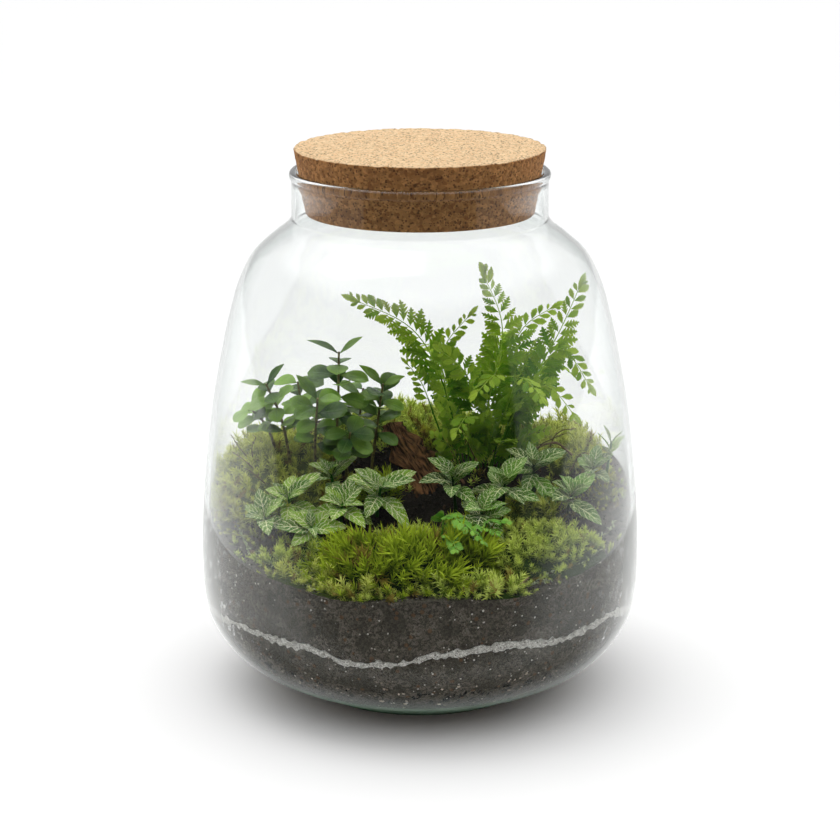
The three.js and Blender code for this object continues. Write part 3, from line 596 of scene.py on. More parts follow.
def leaf_template(outline, stations, columns, ripple=0.0, forward=0.0):
    """A closed leaf whose two faces share their rim; without stations it keeps each point of its outline.

    Its points hold the share along, the place across, the lift of their face, a ripple, and the share
    across from -1 to 1.
    """
    shares, halves = zip(*outline)
    s = np.linspace(0, 1, stations + 1)[1:-1] if stations else np.array(shares[1:-1])
    w = np.linspace(-1, 1, columns + 1)
    rows = len(s)
    grid_s = np.repeat(s, columns + 1)
    grid_w = np.tile(w, rows)
    half = np.interp(grid_s, shares, halves)
    rim = np.abs(grid_w) > 0.999
    swell = ripple * np.cos(2 * np.pi * (grid_s * 6 - np.abs(grid_w) * 1.3)) * (1 - grid_w ** 4)
    along = grid_s + forward * np.abs(grid_w) * half * (1 - grid_s)
    top = np.stack([along, grid_w * half, np.where(rim, 0, 0.5), swell, grid_w], 1)
    inside = np.flatnonzero(~rim)
    under = top[inside] * [1, 1, -1, 1, 1]
    ends = np.array([[0, 0, 0, 0, 0], [1, 0, 0, 0, 0]], float)
    upper = np.arange(len(top)).reshape(rows, -1)
    lower = upper.copy().ravel()
    lower[inside] = len(top) + np.arange(len(inside))
    lower = lower.reshape(rows, -1)
    first = len(top) + len(inside)
    faces = []
    for net, flip in ((upper, False), (lower, True)):
        part = []
        for i in range(rows - 1):
            a, b, c, d = net[i, :-1], net[i, 1:], net[i + 1, 1:], net[i + 1, :-1]
            part += [np.stack([a, d, b], 1), np.stack([b, d, c], 1)]
        part.append(np.stack([np.full(columns, first), net[0, :-1], net[0, 1:]], 1))
        part.append(np.stack([np.full(columns, first + 1), net[-1, 1:], net[-1, :-1]], 1))
        part = np.vstack(part)
        faces.append(part[:, ::-1] if flip else part)
    return np.vstack([top, under, ends]), np.vstack(faces)


ROUND_LEAF = leaf_template(OBOVATE, 12, 6, ripple=0.01)
LONG_LEAF = leaf_template(NARROW, 12, 6)
QUILTED_LEAF = leaf_template(OVATE, 14, 8, ripple=0.008)
YOUNG_LEAF = leaf_template(NARROW, 14, 6, ripple=0.015)
TINY_LEAF = leaf_template(NARROW, 3, 2)
LOBED_LEAFLET = leaf_template(LOBED, 0, 2, forward=0.3)
TOOTHED_LEAFLET = leaf_template(TOOTHED, 0, 2, forward=0.35)

# Pairs of leaves on a white-veined stem: share of the stem, length beside the plant's leaf length,
# width beside the leaf length, rise, form
VEINED_PAIRS = [
    (0.97, 0.62, 0.32, 1.0, YOUNG_LEAF), (0.86, 1, 0.48, 0.62, QUILTED_LEAF),
    (0.7, 0.94, 0.46, 0.15, QUILTED_LEAF), (0.78, 0.86, 0.45, 0.42, QUILTED_LEAF),
    (0.92, 0.8, 0.42, 0.95, QUILTED_LEAF),
]


def add_leaves(form, template, roots, alongs, normals, lengths, widths, arches=0.2, folds=0.1,
               bends=0.0, thickness=0.4, draws=0.0, shares=None):
    """Leaves from their roots; marks hold the share along, across, and a draw for each leaf."""
    shape, faces = template
    count = len(roots)

    def each(value):
        return np.broadcast_to(np.asarray(value, float), count)[:, None]

    s, w, lift, swell, across = (shape[None, :, k] for k in range(5))
    lengths, widths, arches, folds, bends = map(each, (lengths, widths, arches, folds, bends))
    alongs = unit(alongs)
    side = unit(np.cross(alongs, normals))
    face = np.cross(side, alongs)
    height = lengths * (bends * s - arches * s ** 2) + np.abs(w) * folds * widths
    height = height + lift * thickness + swell * widths
    points = (np.asarray(roots)[:, None]
              + alongs[:, None] * (s * lengths)[..., None]
              + side[:, None] * (w * widths / 2)[..., None]
              + face[:, None] * height[..., None])
    along = np.broadcast_to(s, (count, s.shape[1])) if shares is None else each(shares) + 0 * s
    marks = np.stack([along, np.broadcast_to(across, along.shape), each(draws) + 0 * s], -1)
    form.add_many(points, faces, marks)


def stem_path(base, ways, tip):
    """A stem's path from its root in the soil through way points to its tip."""
    ground = soil_top(base[0], base[1])
    return Path([(*base, ground - ROOT_DEPTH), (*base, ground + 1.5), *ways, tip])


def add_stem(form, path, radius, mark=(0, 0, 0)):
    shares = np.linspace(0, 1, 18)
    add_tube(form, path.at(shares), radius * (1.1 - 0.45 * shares), sides=7, mark=mark)


def leaf_pair(path, at, turn, rise, radius):
    """Roots, directions and facings of two opposite leaves at a share of a stem."""
    axis = path.along(at)
    roots, alongs, normals = [], [], []
    for half in (0, 180):
        a = math.radians(turn + half)
        out = np.array([math.sin(a), -math.cos(a), 0])
        out = unit(out - axis * out.dot(axis))
        along = out * math.cos(rise) + axis * math.sin(rise)
        roots.append(path.at(at) + out * radius * ROOT_SHARE)
        alongs.append(along)
        normals.append(unit(axis - along * along.dot(axis)))
    return np.array(roots), np.array(alongs), np.array(normals)


# Fern fronds

def add_frond(form, spec, facing, rng, broad=0.0):
    """A wiry stalk, a rib, and lobed side leaflets with smaller ones between them."""
    base, ways, tip, blade_from, pairs, leaflet = spec
    path = stem_path(base, ways, tip)
    shares = np.linspace(0, 1, 26)
    low, high = shares[shares < blade_from + 0.04], shares[shares > blade_from]
    add_tube(form, path.at(low), STALK_RADIUS * (1.05 - 0.72 * low), sides=5, mark=(0.3, 0, -0.3))
    add_tube(form, path.at(high), STALK_RADIUS * (1.0 - 0.72 * high), sides=5, mark=(1, 0, 0.6))
    step = path.length * (1 - blade_from) / (pairs + 0.6)
    blades = {True: [], False: []}
    for i in np.arange(0, pairs - 0.1, 0.5):
        share = min(1, i / (pairs - 1))
        at = min(0.985, blade_from + (i + 0.35) * step / path.length)
        full = leaflet * (1 - 0.6 * share) * (0.9 if i == 0 else 1 if i % 1 == 0 else 0.88)
        ahead = path.along(at)
        side = unit(np.cross(ahead, facing))
        up = np.cross(side, ahead)
        for hand in (-1, 1):
            length = max(4.6, full * rng.uniform(0.84, 1.06)) * (0.75 if at > 0.9 else 1)
            angle = LEAFLET_ANGLE + rng.uniform(-0.18, 0.12) - 0.25 * share
            along = math.cos(angle) * ahead + math.sin(angle) * hand * side
            along = unit(along + rng.uniform(-0.32, 0.14) * up)
            normal = unit(up + rng.uniform(-0.5, 0.5) * ahead + rng.uniform(-0.4, 0.4) * side)
            start = path.at(at + 0.22 * hand * step / path.length) + side * hand * 0.3
            wide = length * (rng.uniform(0.5, 0.66) + broad)
            blades[length > LOBED_FROM].append((start, along, normal, length, wide, rng.random(), share))
    end = (path.at(0.92), path.along(0.96), facing, path.length * 0.09, leaflet * 0.22, 0.7, 1)
    blades[False].append(end)
    for lobed, rows in blades.items():
        if rows:
            roots, alongs, normals, lengths, widths, draws, shares = (np.array(part) for part in zip(*rows))
            add_leaves(form, LOBED_LEAFLET if lobed else TOOTHED_LEAFLET, roots, alongs, normals, lengths,
                       widths, arches=0.2, folds=0.1, bends=0.06, thickness=0.3, draws=draws, shares=shares)


# Moss

def moss_shoot(rng, leaves, height, spread, leaf_length, leaf_width):
    """An upright shoot with small pointed leaves turned round it, each a slim closed blade."""
    at = np.linspace(0.12, 1, leaves)
    turn = np.arange(leaves) * NEXT_LEAF_TURN + rng.uniform(0, 6)
    lean = spread * (1.15 - 0.75 * at) + rng.uniform(-0.15, 0.15, leaves)
    out = np.stack([np.cos(turn), np.sin(turn), 0 * turn], 1)
    along = out * np.sin(lean)[:, None] + UP * np.cos(lean)[:, None]
    side = np.stack([-np.sin(turn), np.cos(turn), 0 * turn], 1)
    sway = rng.uniform(-0.16, 0.16, 2)
    root = np.stack([sway[0] * at ** 2, sway[1] * at ** 2, at * 0.8], 1) * height
    size = leaf_length * (0.7 + 0.5 * rng.random(leaves))[:, None]
    points = np.stack([
        root - side * leaf_width / 2,
        root + side * leaf_width / 2,
        root + along * size,
        root + along * size * 0.4 - np.cross(side, along) * leaf_width * 0.35,
    ], 1)
    faces = np.array([[0, 1, 2], [1, 0, 3], [2, 1, 3], [0, 2, 3]])
    faces = (faces[None] + (np.arange(leaves) * 4)[:, None, None]).reshape(-1, 3)
    marks = np.stack([np.repeat(at, 4), np.tile([0, 0, 1, 0.4], leaves), np.zeros(4 * leaves)], 1)
    return points.reshape(-1, 3), faces, marks


def add_shoots(form, rng, templates, places, ups, sizes):
    """Shoots of moss at places, each a template turned at random."""
    pick = rng.integers(0, len(templates), len(places))
    turn = any_turn(rng, len(places))
    ups = unit(ups)
    first = unit(np.cross(ups, np.stack([np.cos(turn), np.sin(turn), 0.3 + 0 * turn], 1)))
    second = np.cross(ups, first)
    draws = rng.random(len(places))
    for k, (points, faces, marks) in enumerate(templates):
        chosen = np.flatnonzero(pick == k)
        if not len(chosen):
            continue
        local = points[None] * sizes[chosen][:, None, None]
        world = (places[chosen][:, None]
                 + local[..., 0:1] * first[chosen][:, None]
                 + local[..., 1:2] * second[chosen][:, None]
                 + local[..., 2:3] * ups[chosen][:, None])
        own = np.broadcast_to(marks, world.shape).copy()
        own[..., 2] = draws[chosen][:, None]
        form.add_many(keep_inside(world, 0.4), faces, own)


def cushion_ripple(spec, turn):
    """The uneven rim of a cushion, beside its plain oval."""
    return 1 + 0.09 * np.sin(3 * turn + spec["seed"]) + 0.05 * np.sin(7 * turn + 2 * spec["seed"])


def cushion_share(spec, x, y):
    """How far out on a cushion a place lies: 0 in its middle, 1 on its rim."""
    dx = (x - spec["centre"][0]) / spec["reach"][0]
    dy = (y - spec["centre"][1]) / spec["reach"][1]
    return np.hypot(dx, dy) / cushion_ripple(spec, np.arctan2(dy, dx))


def cushion_top(spec, x, y):
    """Height of a cushion's dome, and of the thin moss past its rim."""
    share = cushion_share(spec, x, y)
    dome = MOSS_RIM + (spec["height"] - MOSS_RIM) * np.sqrt(np.maximum(0, 1 - share ** 2))
    return soil_top(x, y) + np.where(share < 1, dome, 0.5)


def add_cushion_core(form, spec):
    """The dense inside of a cushion, which the shoots stand out of."""
    sides, underside, depth = 60, (0.6, 0.96), 2.5
    turn = turns(sides)
    ripple = cushion_ripple(spec, turn)
    rings = []
    for share in (*underside, *np.linspace(0.98, 0.05, 14)):
        x = spec["centre"][0] + spec["reach"][0] * share * ripple * np.cos(turn)
        y = spec["centre"][1] + spec["reach"][1] * share * ripple * np.sin(turn)
        z = soil_top(x, y)
        if len(rings) < len(underside):
            z = z - depth
        else:
            by_glass = np.clip((112 - np.hypot(x, y)) / 10, 0.12, 1)
            z = z + (cushion_top(spec, x, y) - z) * 0.78 * by_glass
            z = z + 1.4 * noise(np.stack([x, y, z], 1), 5, spec["seed"])
        rings.append(keep_inside(np.stack([x, y, z], 1), 0.8))
    ground = soil_top(*spec["centre"])
    low = [*spec["centre"], ground - depth]
    high = [*spec["centre"], ground + spec["height"] * 0.8]
    skin = np.vstack([low, *rings, high])
    form.add(skin, ring_faces(len(rings), sides, 0, len(skin) - 1))


# Materials

FLOAT, COLOUR = "NodeSocketFloat", "NodeSocketColor"


def add_node(tree, kind, inputs=None, **settings):
    """A node with its settings; an input is a value or another node's socket."""
    node = tree.nodes.new(kind)
    for name, value in settings.items():
        setattr(node, name, value)
    for name, value in (inputs or {}).items():
        if isinstance(value, bpy.types.NodeSocket):
            tree.links.new(value, node.inputs[name])
        else:
            node.inputs[name].default_value = value
    return node


def math_node(tree, operation, *values):
    return add_node(tree, "ShaderNodeMath", dict(enumerate(values)), operation=operation).outputs[0]


def times(tree, a, b):
    return math_node(tree, "MULTIPLY", a, b)


def vector_math(tree, operation, *values):
    return add_node(tree, "ShaderNodeVectorMath", dict(enumerate(values)), operation=operation).outputs


def axes(tree, vector):
    """The X, Y and Z of a vector."""
    return add_node(tree, "ShaderNodeSeparateXYZ", {"Vector": vector}).outputs


def local_place(tree):
    """A point's place in its piece, in metres."""
    return tree.nodes.new("ShaderNodeTexCoord").outputs["Object"]


def ramp(tree, value, low, high):
    """0 below low and 1 above high, smooth between."""
    return add_node(tree, "ShaderNodeMapRange", {"Value": value, "From Min": low, "From Max": high},
                    interpolation_type="SMOOTHSTEP").outputs["Result"]


def fall(tree, value, low, high):
    """1 below low and 0 above high, smooth between."""
    return math_node(tree, "SUBTRACT", 1, ramp(tree, value, low, high))


def mix(tree, share, a, b):
    """Colour a, turning to b where share is 1."""
    return add_node(tree, "ShaderNodeMix", {0: share, 6: a, 7: b}, data_type="RGBA").outputs[2]


def group_tree(name, inputs, outputs):
    """An empty shader group with named inputs and outputs, and the sockets inside it."""
    group = bpy.data.node_groups.new(name, "ShaderNodeTree")
    for socket, kind, value in inputs:
        made = group.interface.new_socket(socket, in_out="INPUT", socket_type=kind)
        made.default_value = value
    for socket, kind in outputs:
        group.interface.new_socket(socket, in_out="OUTPUT", socket_type=kind)
    source = group.nodes.new("NodeGroupInput")
    target = group.nodes.new("NodeGroupOutput")
    return group, source.outputs, target.inputs


def shared(tree, name, build, inputs):
    """The outputs of a node group placed in a material; the group is built once."""
    group = bpy.data.node_groups.get(name) or build(name)
    return add_node(tree, "ShaderNodeGroup", inputs, node_tree=group).outputs


def build_grain(name):
    """Loose grains: a tone for each grain, its rounded height, and fine roughness."""
    group, given, out = group_tree(name, [("Size", FLOAT, 2.0)],
                                   [("Tone", FLOAT), ("Height", FLOAT), ("Fine", FLOAT)])
    place = local_place(group)
    scale = math_node(group, "DIVIDE", 1 / MM, given["Size"])
    warp = add_node(group, "ShaderNodeTexNoise", {"Vector": place, "Scale": scale, "Detail": 2.0})
    bent = vector_math(group, "MULTIPLY", warp.outputs["Color"], (GRAIN_WARP * MM,) * 3)[0]
    moved = vector_math(group, "ADD", place, bent)[0]
    cells = add_node(group, "ShaderNodeTexVoronoi", {"Vector": moved, "Scale": scale})
    tones = add_node(group, "ShaderNodeSeparateColor", {"Color": cells.outputs["Color"]})
    fine = add_node(group, "ShaderNodeTexNoise",
                    {"Vector": place, "Scale": times(group, scale, 2.5), "Detail": 4.0})
    group.links.new(tones.outputs["Red"], out["Tone"])
    group.links.new(math_node(group, "SUBTRACT", 1, cells.outputs["Distance"]), out["Height"])
    group.links.new(fine.outputs["Fac"], out["Fine"])
    return group


def build_speck(name):
    """Scattered specks: a mask that is 1 inside a few of many small cells."""
    group, given, out = group_tree(
        name, [("Size", FLOAT, 3.0), ("Share", FLOAT, 0.1), ("Radius", FLOAT, 0.35)], [("Mask", FLOAT)])
    scale = math_node(group, "DIVIDE", 1 / MM, given["Size"])
    cells = add_node(group, "ShaderNodeTexVoronoi", {"Vector": local_place(group), "Scale": scale})
    tones = add_node(group, "ShaderNodeSeparateColor", {"Color": cells.outputs["Color"]})
    chosen = math_node(group, "LESS_THAN", tones.outputs["Green"], given["Share"])
    inside = math_node(group, "LESS_THAN", cells.outputs["Distance"], given["Radius"])
    group.links.new(times(group, chosen, inside), out["Mask"])
    return group


def build_leaf_tone(name):
    """A leaf's colour, from mature to young by its draw, towards its tip and in patches."""
    group, given, out = group_tree(
        name, [("Mature", COLOUR, (0.05, 0.2, 0.03, 1)), ("Young", COLOUR, (0.2, 0.4, 0.06, 1)),
               ("Tip", FLOAT, 0.3)],
        [("Colour", COLOUR), ("Along", FLOAT), ("Across", FLOAT), ("Draw", FLOAT)])
    mark = axes(group, add_node(group, "ShaderNodeAttribute", attribute_name="leaf").outputs["Vector"])
    patch = add_node(group, "ShaderNodeTexNoise",
                     {"Vector": local_place(group), "Scale": 160.0, "Detail": 3.0})
    share = math_node(group, "ADD", times(group, mark["X"], given["Tip"]), times(group, mark["Z"], 0.75))
    share = math_node(group, "ADD", share, times(group, patch.outputs["Fac"], 0.5))
    share = ramp(group, share, 0.2, 1.35)
    group.links.new(mix(group, share, given["Mature"], given["Young"]), out["Colour"])
    for axis, socket in (("X", "Along"), ("Y", "Across"), ("Z", "Draw")):
        group.links.new(mark[axis], out[socket])
    return group


def build_vein(name):
    """Veins of a leaf: midrib, side veins that slant forwards, and a net between them."""
    group, given, out = group_tree(
        name, [("Along", FLOAT, 0), ("Across", FLOAT, 0), ("Draw", FLOAT, 0), ("Count", FLOAT, 6),
               ("Width", FLOAT, 0.1), ("Net", FLOAT, 0.05)],
        [("Mask", FLOAT), ("Net Mask", FLOAT)])
    aside = math_node(group, "ABSOLUTE", given["Across"])
    midrib = fall(group, aside, 0.02, 0.08)
    lay = add_node(group, "ShaderNodeCombineXYZ", {
        "X": given["Along"], "Y": given["Across"], "Z": times(group, given["Draw"], 9)})
    bend = add_node(group, "ShaderNodeTexNoise", {"Vector": lay.outputs[0], "Scale": 4.0, "Detail": 2.0})
    slant = math_node(group, "SUBTRACT",
                      times(group, given["Along"], given["Count"]), times(group, aside, 1.7))
    slant = math_node(group, "ADD", slant, times(group, bend.outputs["Fac"], 0.9))
    away = math_node(group, "ABSOLUTE", math_node(group, "SUBTRACT", math_node(group, "FRACT", slant), 0.5))
    edge = math_node(group, "SUBTRACT", 0.5, away)
    line = fall(group, edge, times(group, given["Width"], 0.4), given["Width"])
    flat = add_node(group, "ShaderNodeCombineXYZ", {
        "X": times(group, given["Along"], 1.6), "Y": given["Across"], "Z": times(group, given["Draw"], 7)})
    cells = add_node(group, "ShaderNodeTexVoronoi", {"Vector": flat.outputs[0], "Scale": 8.0},
                     feature="DISTANCE_TO_EDGE")
    net = fall(group, cells.outputs["Distance"], times(group, given["Net"], 0.4), given["Net"])
    group.links.new(math_node(group, "MAXIMUM", midrib, line), out["Mask"])
    group.links.new(net, out["Net Mask"])
    return group


def grains(tree, size):
    """Tone, Height and Fine of grains of a size in millimetres."""
    return shared(tree, "Grain", build_grain, {"Size": size})


def specks(tree, size, share, radius):
    """Mask of specks: size of the cells, share of them that hold one, and its radius in its cell."""
    return shared(tree, "Speck", build_speck, {"Size": size, "Share": share, "Radius": radius})["Mask"]


def leaf_tone(tree, mature, young, tip):
    """Colour of a leaf, stone or shoot, with its place Along and Across it and its Draw."""
    return shared(tree, "Leaf tone", build_leaf_tone,
                  {"Mature": rgba(mature), "Young": rgba(young), "Tip": tip})


def new_material(name, roughness, **constants):
    """A material with its main shader; constants set sockets, with _ for a space in their names."""
    material = bpy.data.materials.new(name)
    material.use_nodes = True
    shader = material.node_tree.nodes["Principled BSDF"]
    shader.inputs["Roughness"].default_value = roughness
    for socket, value in constants.items():
        shader.inputs[socket.replace("_", " ")].default_value = value
    return material, material.node_tree, shader


def set_colour(tree, shader, colour):
    tree.links.new(colour, shader.inputs["Base Color"])


def set_relief(tree, shader, height, depth, strength=1.0):
    """Relief of a depth in millimetres."""
    bump = add_node(tree, "ShaderNodeBump", {"Height": height, "Distance": depth * MM, "Strength": strength})
    tree.links.new(bump.outputs[0], shader.inputs["Normal"])


def rgba(colour):
    return (*colour, 1)


def over(tree, height, band):
    """0 below a band of heights in millimetres, and 1 above it."""
    return ramp(tree, height, band[0] * MM, band[1] * MM)


def under(tree, height, band):
    return math_node(tree, "SUBTRACT", 1, over(tree, height, band))


def glass_material(settings):
    """Clear glass, green where it is thick, with a painted glow of light in its foot and heel, a painted haze
    of reflected light at its lower sides and painted shade along the edges of its upper part; light passes it
    to what is inside.
    """
    material, tree, shader = new_material("clear glass", 0.0, IOR=1.5, Transmission_Weight=1.0)
    height = axes(tree, local_place(tree))["Z"]
    facing = tree.nodes.new("ShaderNodeLayerWeight").outputs["Facing"]
    thin = over(tree, height, THICK_TINT)
    colour = mix(tree, thin, rgba(settings.glass_base_colour), (0.955, 0.968, 0.965, 1))
    # Painted shade: the upper glass is tinted darker where it turns away at its edges, which draws a grey
    # outline
    outline = times(tree, ramp(tree, facing, 0.55, 0.95), over(tree, height, EDGE_SHADE_FROM))
    set_colour(tree, shader, mix(tree, outline, colour, (0.5, 0.56, 0.54, 1)))
    # Painted light: bright level lines in the foot of the glass and a soft glow in its heel
    lines = math_node(tree, "MULTIPLY_ADD",
                      math_node(tree, "SINE", times(tree, height, GLOW_LINE_RATE)), 0.22, 0.28)
    foot = times(tree, under(tree, height, FOOT_GLOW_BAND), lines)
    heel_glow = times(tree, under(tree, height, HEEL_GLOW_BAND), 0.12)
    # Painted reflection: a pale haze over the lower wall, stronger towards its edges and fading out higher up
    painted_haze = math_node(tree, "MULTIPLY_ADD", ramp(tree, facing, 0.12, 0.3),
                     times(tree, over(tree, height, HAZE_FROM), 0.12),
                     times(tree, ramp(tree, facing, 0.45, 0.92), 0.34))
    painted_haze = times(tree, painted_haze, under(tree, height, HAZE_TO))
    painted_glow = math_node(tree, "MAXIMUM", math_node(tree, "MAXIMUM", foot, heel_glow), painted_haze)
    # A lit diffuse layer mixed into the glass, which paints the glow and the haze onto it
    glow_shader = add_node(tree, "ShaderNodeBsdfDiffuse", {
        "Color": mix(tree, thin, rgba(settings.glass_glow_colour), (0.9, 0.93, 0.91, 1))})
    body = add_node(tree, "ShaderNodeMixShader", {0: painted_glow, 1: shader.outputs[0], 2: glow_shader.outputs[0]})
    clear = add_node(tree, "ShaderNodeBsdfTransparent", {"Color": (0.96, 0.975, 0.97, 1)})
    path = tree.nodes.new("ShaderNodeLightPath").outputs
    passing = math_node(tree, "MAXIMUM", path["Is Shadow Ray"], path["Is Diffuse Ray"])
    both = add_node(tree, "ShaderNodeMixShader", {0: passing, 1: body.outputs[0], 2: clear.outputs[0]})
    tree.links.new(both.outputs[0], tree.nodes["Material Output"].inputs["Surface"])
    return material


def cork_material(settings):
    """Pressed cork: small granules in several tans, with dark bark specks; its top is painted as lit and its
    side in painted shade.
    """
    material, tree, shader = new_material("pressed cork", 0.85, Specular_IOR_Level=0.25)
    big, small = grains(tree, 1.9), grains(tree, 0.9)
    bark = math_node(tree, "MAXIMUM", specks(tree, 2.2, 0.42, 0.3), specks(tree, 1.1, 0.22, 0.42))
    # Painted light and shade: cork facing up takes the lit colour of the top, and the side a darker, shaded
    # copy of it
    upward = axes(tree, tree.nodes.new("ShaderNodeTexCoord").outputs["Normal"])["Z"]
    light = mix(tree, big["Tone"], rgba(settings.cork_lit_top_colour), (0.95, 0.72, 0.44, 1))
    side = mix(tree, big["Tone"], (0.32, 0.13, 0.04, 1), (0.7, 0.33, 0.11, 1))
    colour = mix(tree, ramp(tree, upward, 0.4, 0.9), side, light)
    colour = mix(tree, times(tree, small["Tone"], 0.35), colour, (0.3, 0.16, 0.07, 1))
    set_colour(tree, shader, mix(tree, times(tree, bark, 0.75), colour, (0.09, 0.045, 0.02, 1)))
    height = math_node(tree, "SUBTRACT", math_node(tree, "ADD", big["Height"], small["Fine"]), bark)
    set_relief(tree, shader, height, 0.5)
    return material


def fill_material(name, dark, light, grain, speck_share, speck_colour, fleck_colour, relief=0.8,
                  inside=0.0, patches=0.0):
    """Loose fill of grains, with specks and broad patches; inside sets how strongly a painted shade darkens
    it away from the glass, where the plants stand over it.
    """
    material, tree, shader = new_material(name, 0.95, Specular_IOR_Level=0.05)
    big, small, broad = grains(tree, grain), grains(tree, grain * 0.35), grains(tree, grain * 8)
    tone = times(tree, math_node(tree, "ADD", big["Tone"], small["Tone"]), 0.5)
    colour = mix(tree, ramp(tree, tone, 0.15, 0.95), rgba(dark), rgba(light))
    colour = mix(tree, times(tree, broad["Tone"], patches), colour, rgba(dark))
    flecks = specks(tree, grain * 3, 0.16, 0.34)
    colour = mix(tree, times(tree, flecks, 0.6), colour, rgba(fleck_colour))
    colour = mix(tree, specks(tree, grain * 1.6, speck_share, 0.26), colour, rgba(speck_colour))
    # Painted shade: the soil darkens towards the middle of the jar, where the plants stand over it
    across = vector_math(tree, "MULTIPLY", local_place(tree), (1, 1, 0))[0]
    reach = vector_math(tree, "LENGTH", across)["Value"]
    painted_shade = times(tree, under(tree, reach, SHADE_AWAY_FROM_GLASS), inside)
    set_colour(tree, shader, mix(tree, painted_shade, colour, (0.008, 0.006, 0.004, 1)))
    height = math_node(tree, "ADD", big["Height"], times(tree, small["Height"], 0.5))
    set_relief(tree, shader, height, relief)
    return material


def stone_material(name, dark, light, mottle, roughness=0.8):
    """Small stones, each with a tone from its draw, and fine mottling."""
    material, tree, shader = new_material(name, roughness)
    grain = grains(tree, 0.8)
    tone = leaf_tone(tree, dark, light, 0.0)
    set_colour(tree, shader, mix(tree, times(tree, grain["Tone"], 0.35), tone["Colour"], rgba(mottle)))
    set_relief(tree, shader, grain["Fine"], 0.3)
    return material


def wood_material(name, dark, light, stretch):
    """Weathered wood: long fibres with dark cracks."""
    material, tree, shader = new_material(name, 0.82, Specular_IOR_Level=0.1)
    mark = add_node(tree, "ShaderNodeAttribute", attribute_name="leaf")
    lay = vector_math(tree, "MULTIPLY", mark.outputs["Vector"], stretch)[0]
    fibre = add_node(tree, "ShaderNodeTexNoise", {"Vector": lay, "Scale": 1.0, "Detail": 6.0}).outputs["Fac"]
    grain = grains(tree, 2.2)
    share = math_node(tree, "ADD", ramp(tree, fibre, 0.35, 0.7), times(tree, grain["Tone"], 0.25))
    set_colour(tree, shader, mix(tree, share, rgba(dark), rgba(light)))
    set_relief(tree, shader, math_node(tree, "ADD", fibre, grain["Fine"]), 1.0)
    return material


def moss_material(name, dark, light, tip):
    """Moss: dark at its foot, bright at the tips of its leaves, with a few dry shoots."""
    material, tree, shader = new_material(name, 0.75, Specular_IOR_Level=0.1)
    tone = leaf_tone(tree, dark, light, 0.6)
    height = ramp(tree, math_node(tree, "ADD", tone["Along"], tone["Across"]), 0.25, 1.6)
    colour = mix(tree, height, tone["Colour"], rgba(tip))
    dry = times(tree, math_node(tree, "GREATER_THAN", tone["Draw"], 1 - DRY_SHARE), 0.8)
    set_colour(tree, shader, mix(tree, dry, colour, (0.26, 0.15, 0.04, 1)))
    set_relief(tree, shader, grains(tree, 1.0)["Fine"], 0.2)
    return material


def leaf_material(name, mature, young, roughness, vein=None, vein_width=0.1, net=0.0, count=6.0,
                  vein_share=1.0, relief=0.25, tip=0.3, sheen=0.25):
    """A leaf with its veins; stems carry a draw below zero, have no veins and take the mature colour."""
    material, tree, shader = new_material(name, roughness, Specular_IOR_Level=sheen, Subsurface_Weight=0.35,
                                          Subsurface_Radius=(0.8, 1.0, 0.3), Subsurface_Scale=1.2 * MM)
    tone = leaf_tone(tree, mature, young, tip)
    veins = shared(tree, "Vein", build_vein, {
        "Along": tone["Along"], "Across": tone["Across"], "Draw": tone["Draw"],
        "Count": count, "Width": vein_width, "Net": max(net, 0.001)})
    mask = veins["Mask"]
    if net:
        mask = math_node(tree, "MAXIMUM", mask, times(tree, veins["Net Mask"], 0.8))
    mask = times(tree, mask, math_node(tree, "GREATER_THAN", tone["Draw"], -0.25))
    set_colour(tree, shader, mix(tree, times(tree, mask, vein_share), tone["Colour"], rgba(vein or young)))
    set_relief(tree, shader, math_node(tree, "SUBTRACT", grains(tree, 1.2)["Fine"], mask), relief, 0.7)
    return material


def plain_stem_material(name, dark, light):
    """A woody stem, mottled between two tones."""
    material, tree, shader = new_material(name, 0.55)
    grain = grains(tree, 1.6)
    set_colour(tree, shader, mix(tree, grain["Tone"], rgba(dark), rgba(light)))
    set_relief(tree, shader, grain["Fine"], 0.2)
    return material


# Settings

def colour_setting(label, description, value):
    return FloatVectorProperty(name=label, description=description, default=value, size=3,
                               subtype="COLOR", min=0, max=1)


class TerrariumSettings(bpy.types.PropertyGroup):
    """Sizes and colours that a user would change."""

    glass_sides: IntProperty(
        name="Glass sides", description="Segments round the jar", default=192, min=48, max=256)
    moss_spacing: FloatProperty(
        name="Moss spacing", description="Distance between shoots of moss, in millimetres",
        default=2.5, min=1.5, max=6)
    pebble_count: IntProperty(
        name="Pebbles", description="Small stones against the glass", default=520, min=100, max=1500)
    crumb_count: IntProperty(
        name="Soil crumbs", description="Loose crumbs of soil", default=3000, min=500, max=12000)
    glass_base_colour: colour_setting("Glass foot", "Tint of the thick foot of the jar", (0.5, 0.74, 0.62))
    # Colour of the painted glow in the foot and heel of the jar and of the painted haze at its lower sides
    glass_glow_colour: colour_setting(
        "Glass sheen", "Soft light held in the foot of the jar", (0.52, 0.82, 0.6))
    # Lighter tone of the cork's top, which is painted as lit
    cork_lit_top_colour: colour_setting("Cork", "Lighter tone of the cork", (0.86, 0.58, 0.32))
    soil_colour: colour_setting("Soil", "Darkest tone of the soil", (0.05, 0.045, 0.036))
    fern_colour: colour_setting("Fern", "Mature tone of the fern", (0.07, 0.25, 0.006))
    shrub_colour: colour_setting("Shrub", "Mature tone of the shrub", (0.01, 0.062, 0.005))
    veined_colour: colour_setting("Veined leaves", "Mature tone between the pale veins", (0.016, 0.15, 0.002))


# Jar and lid

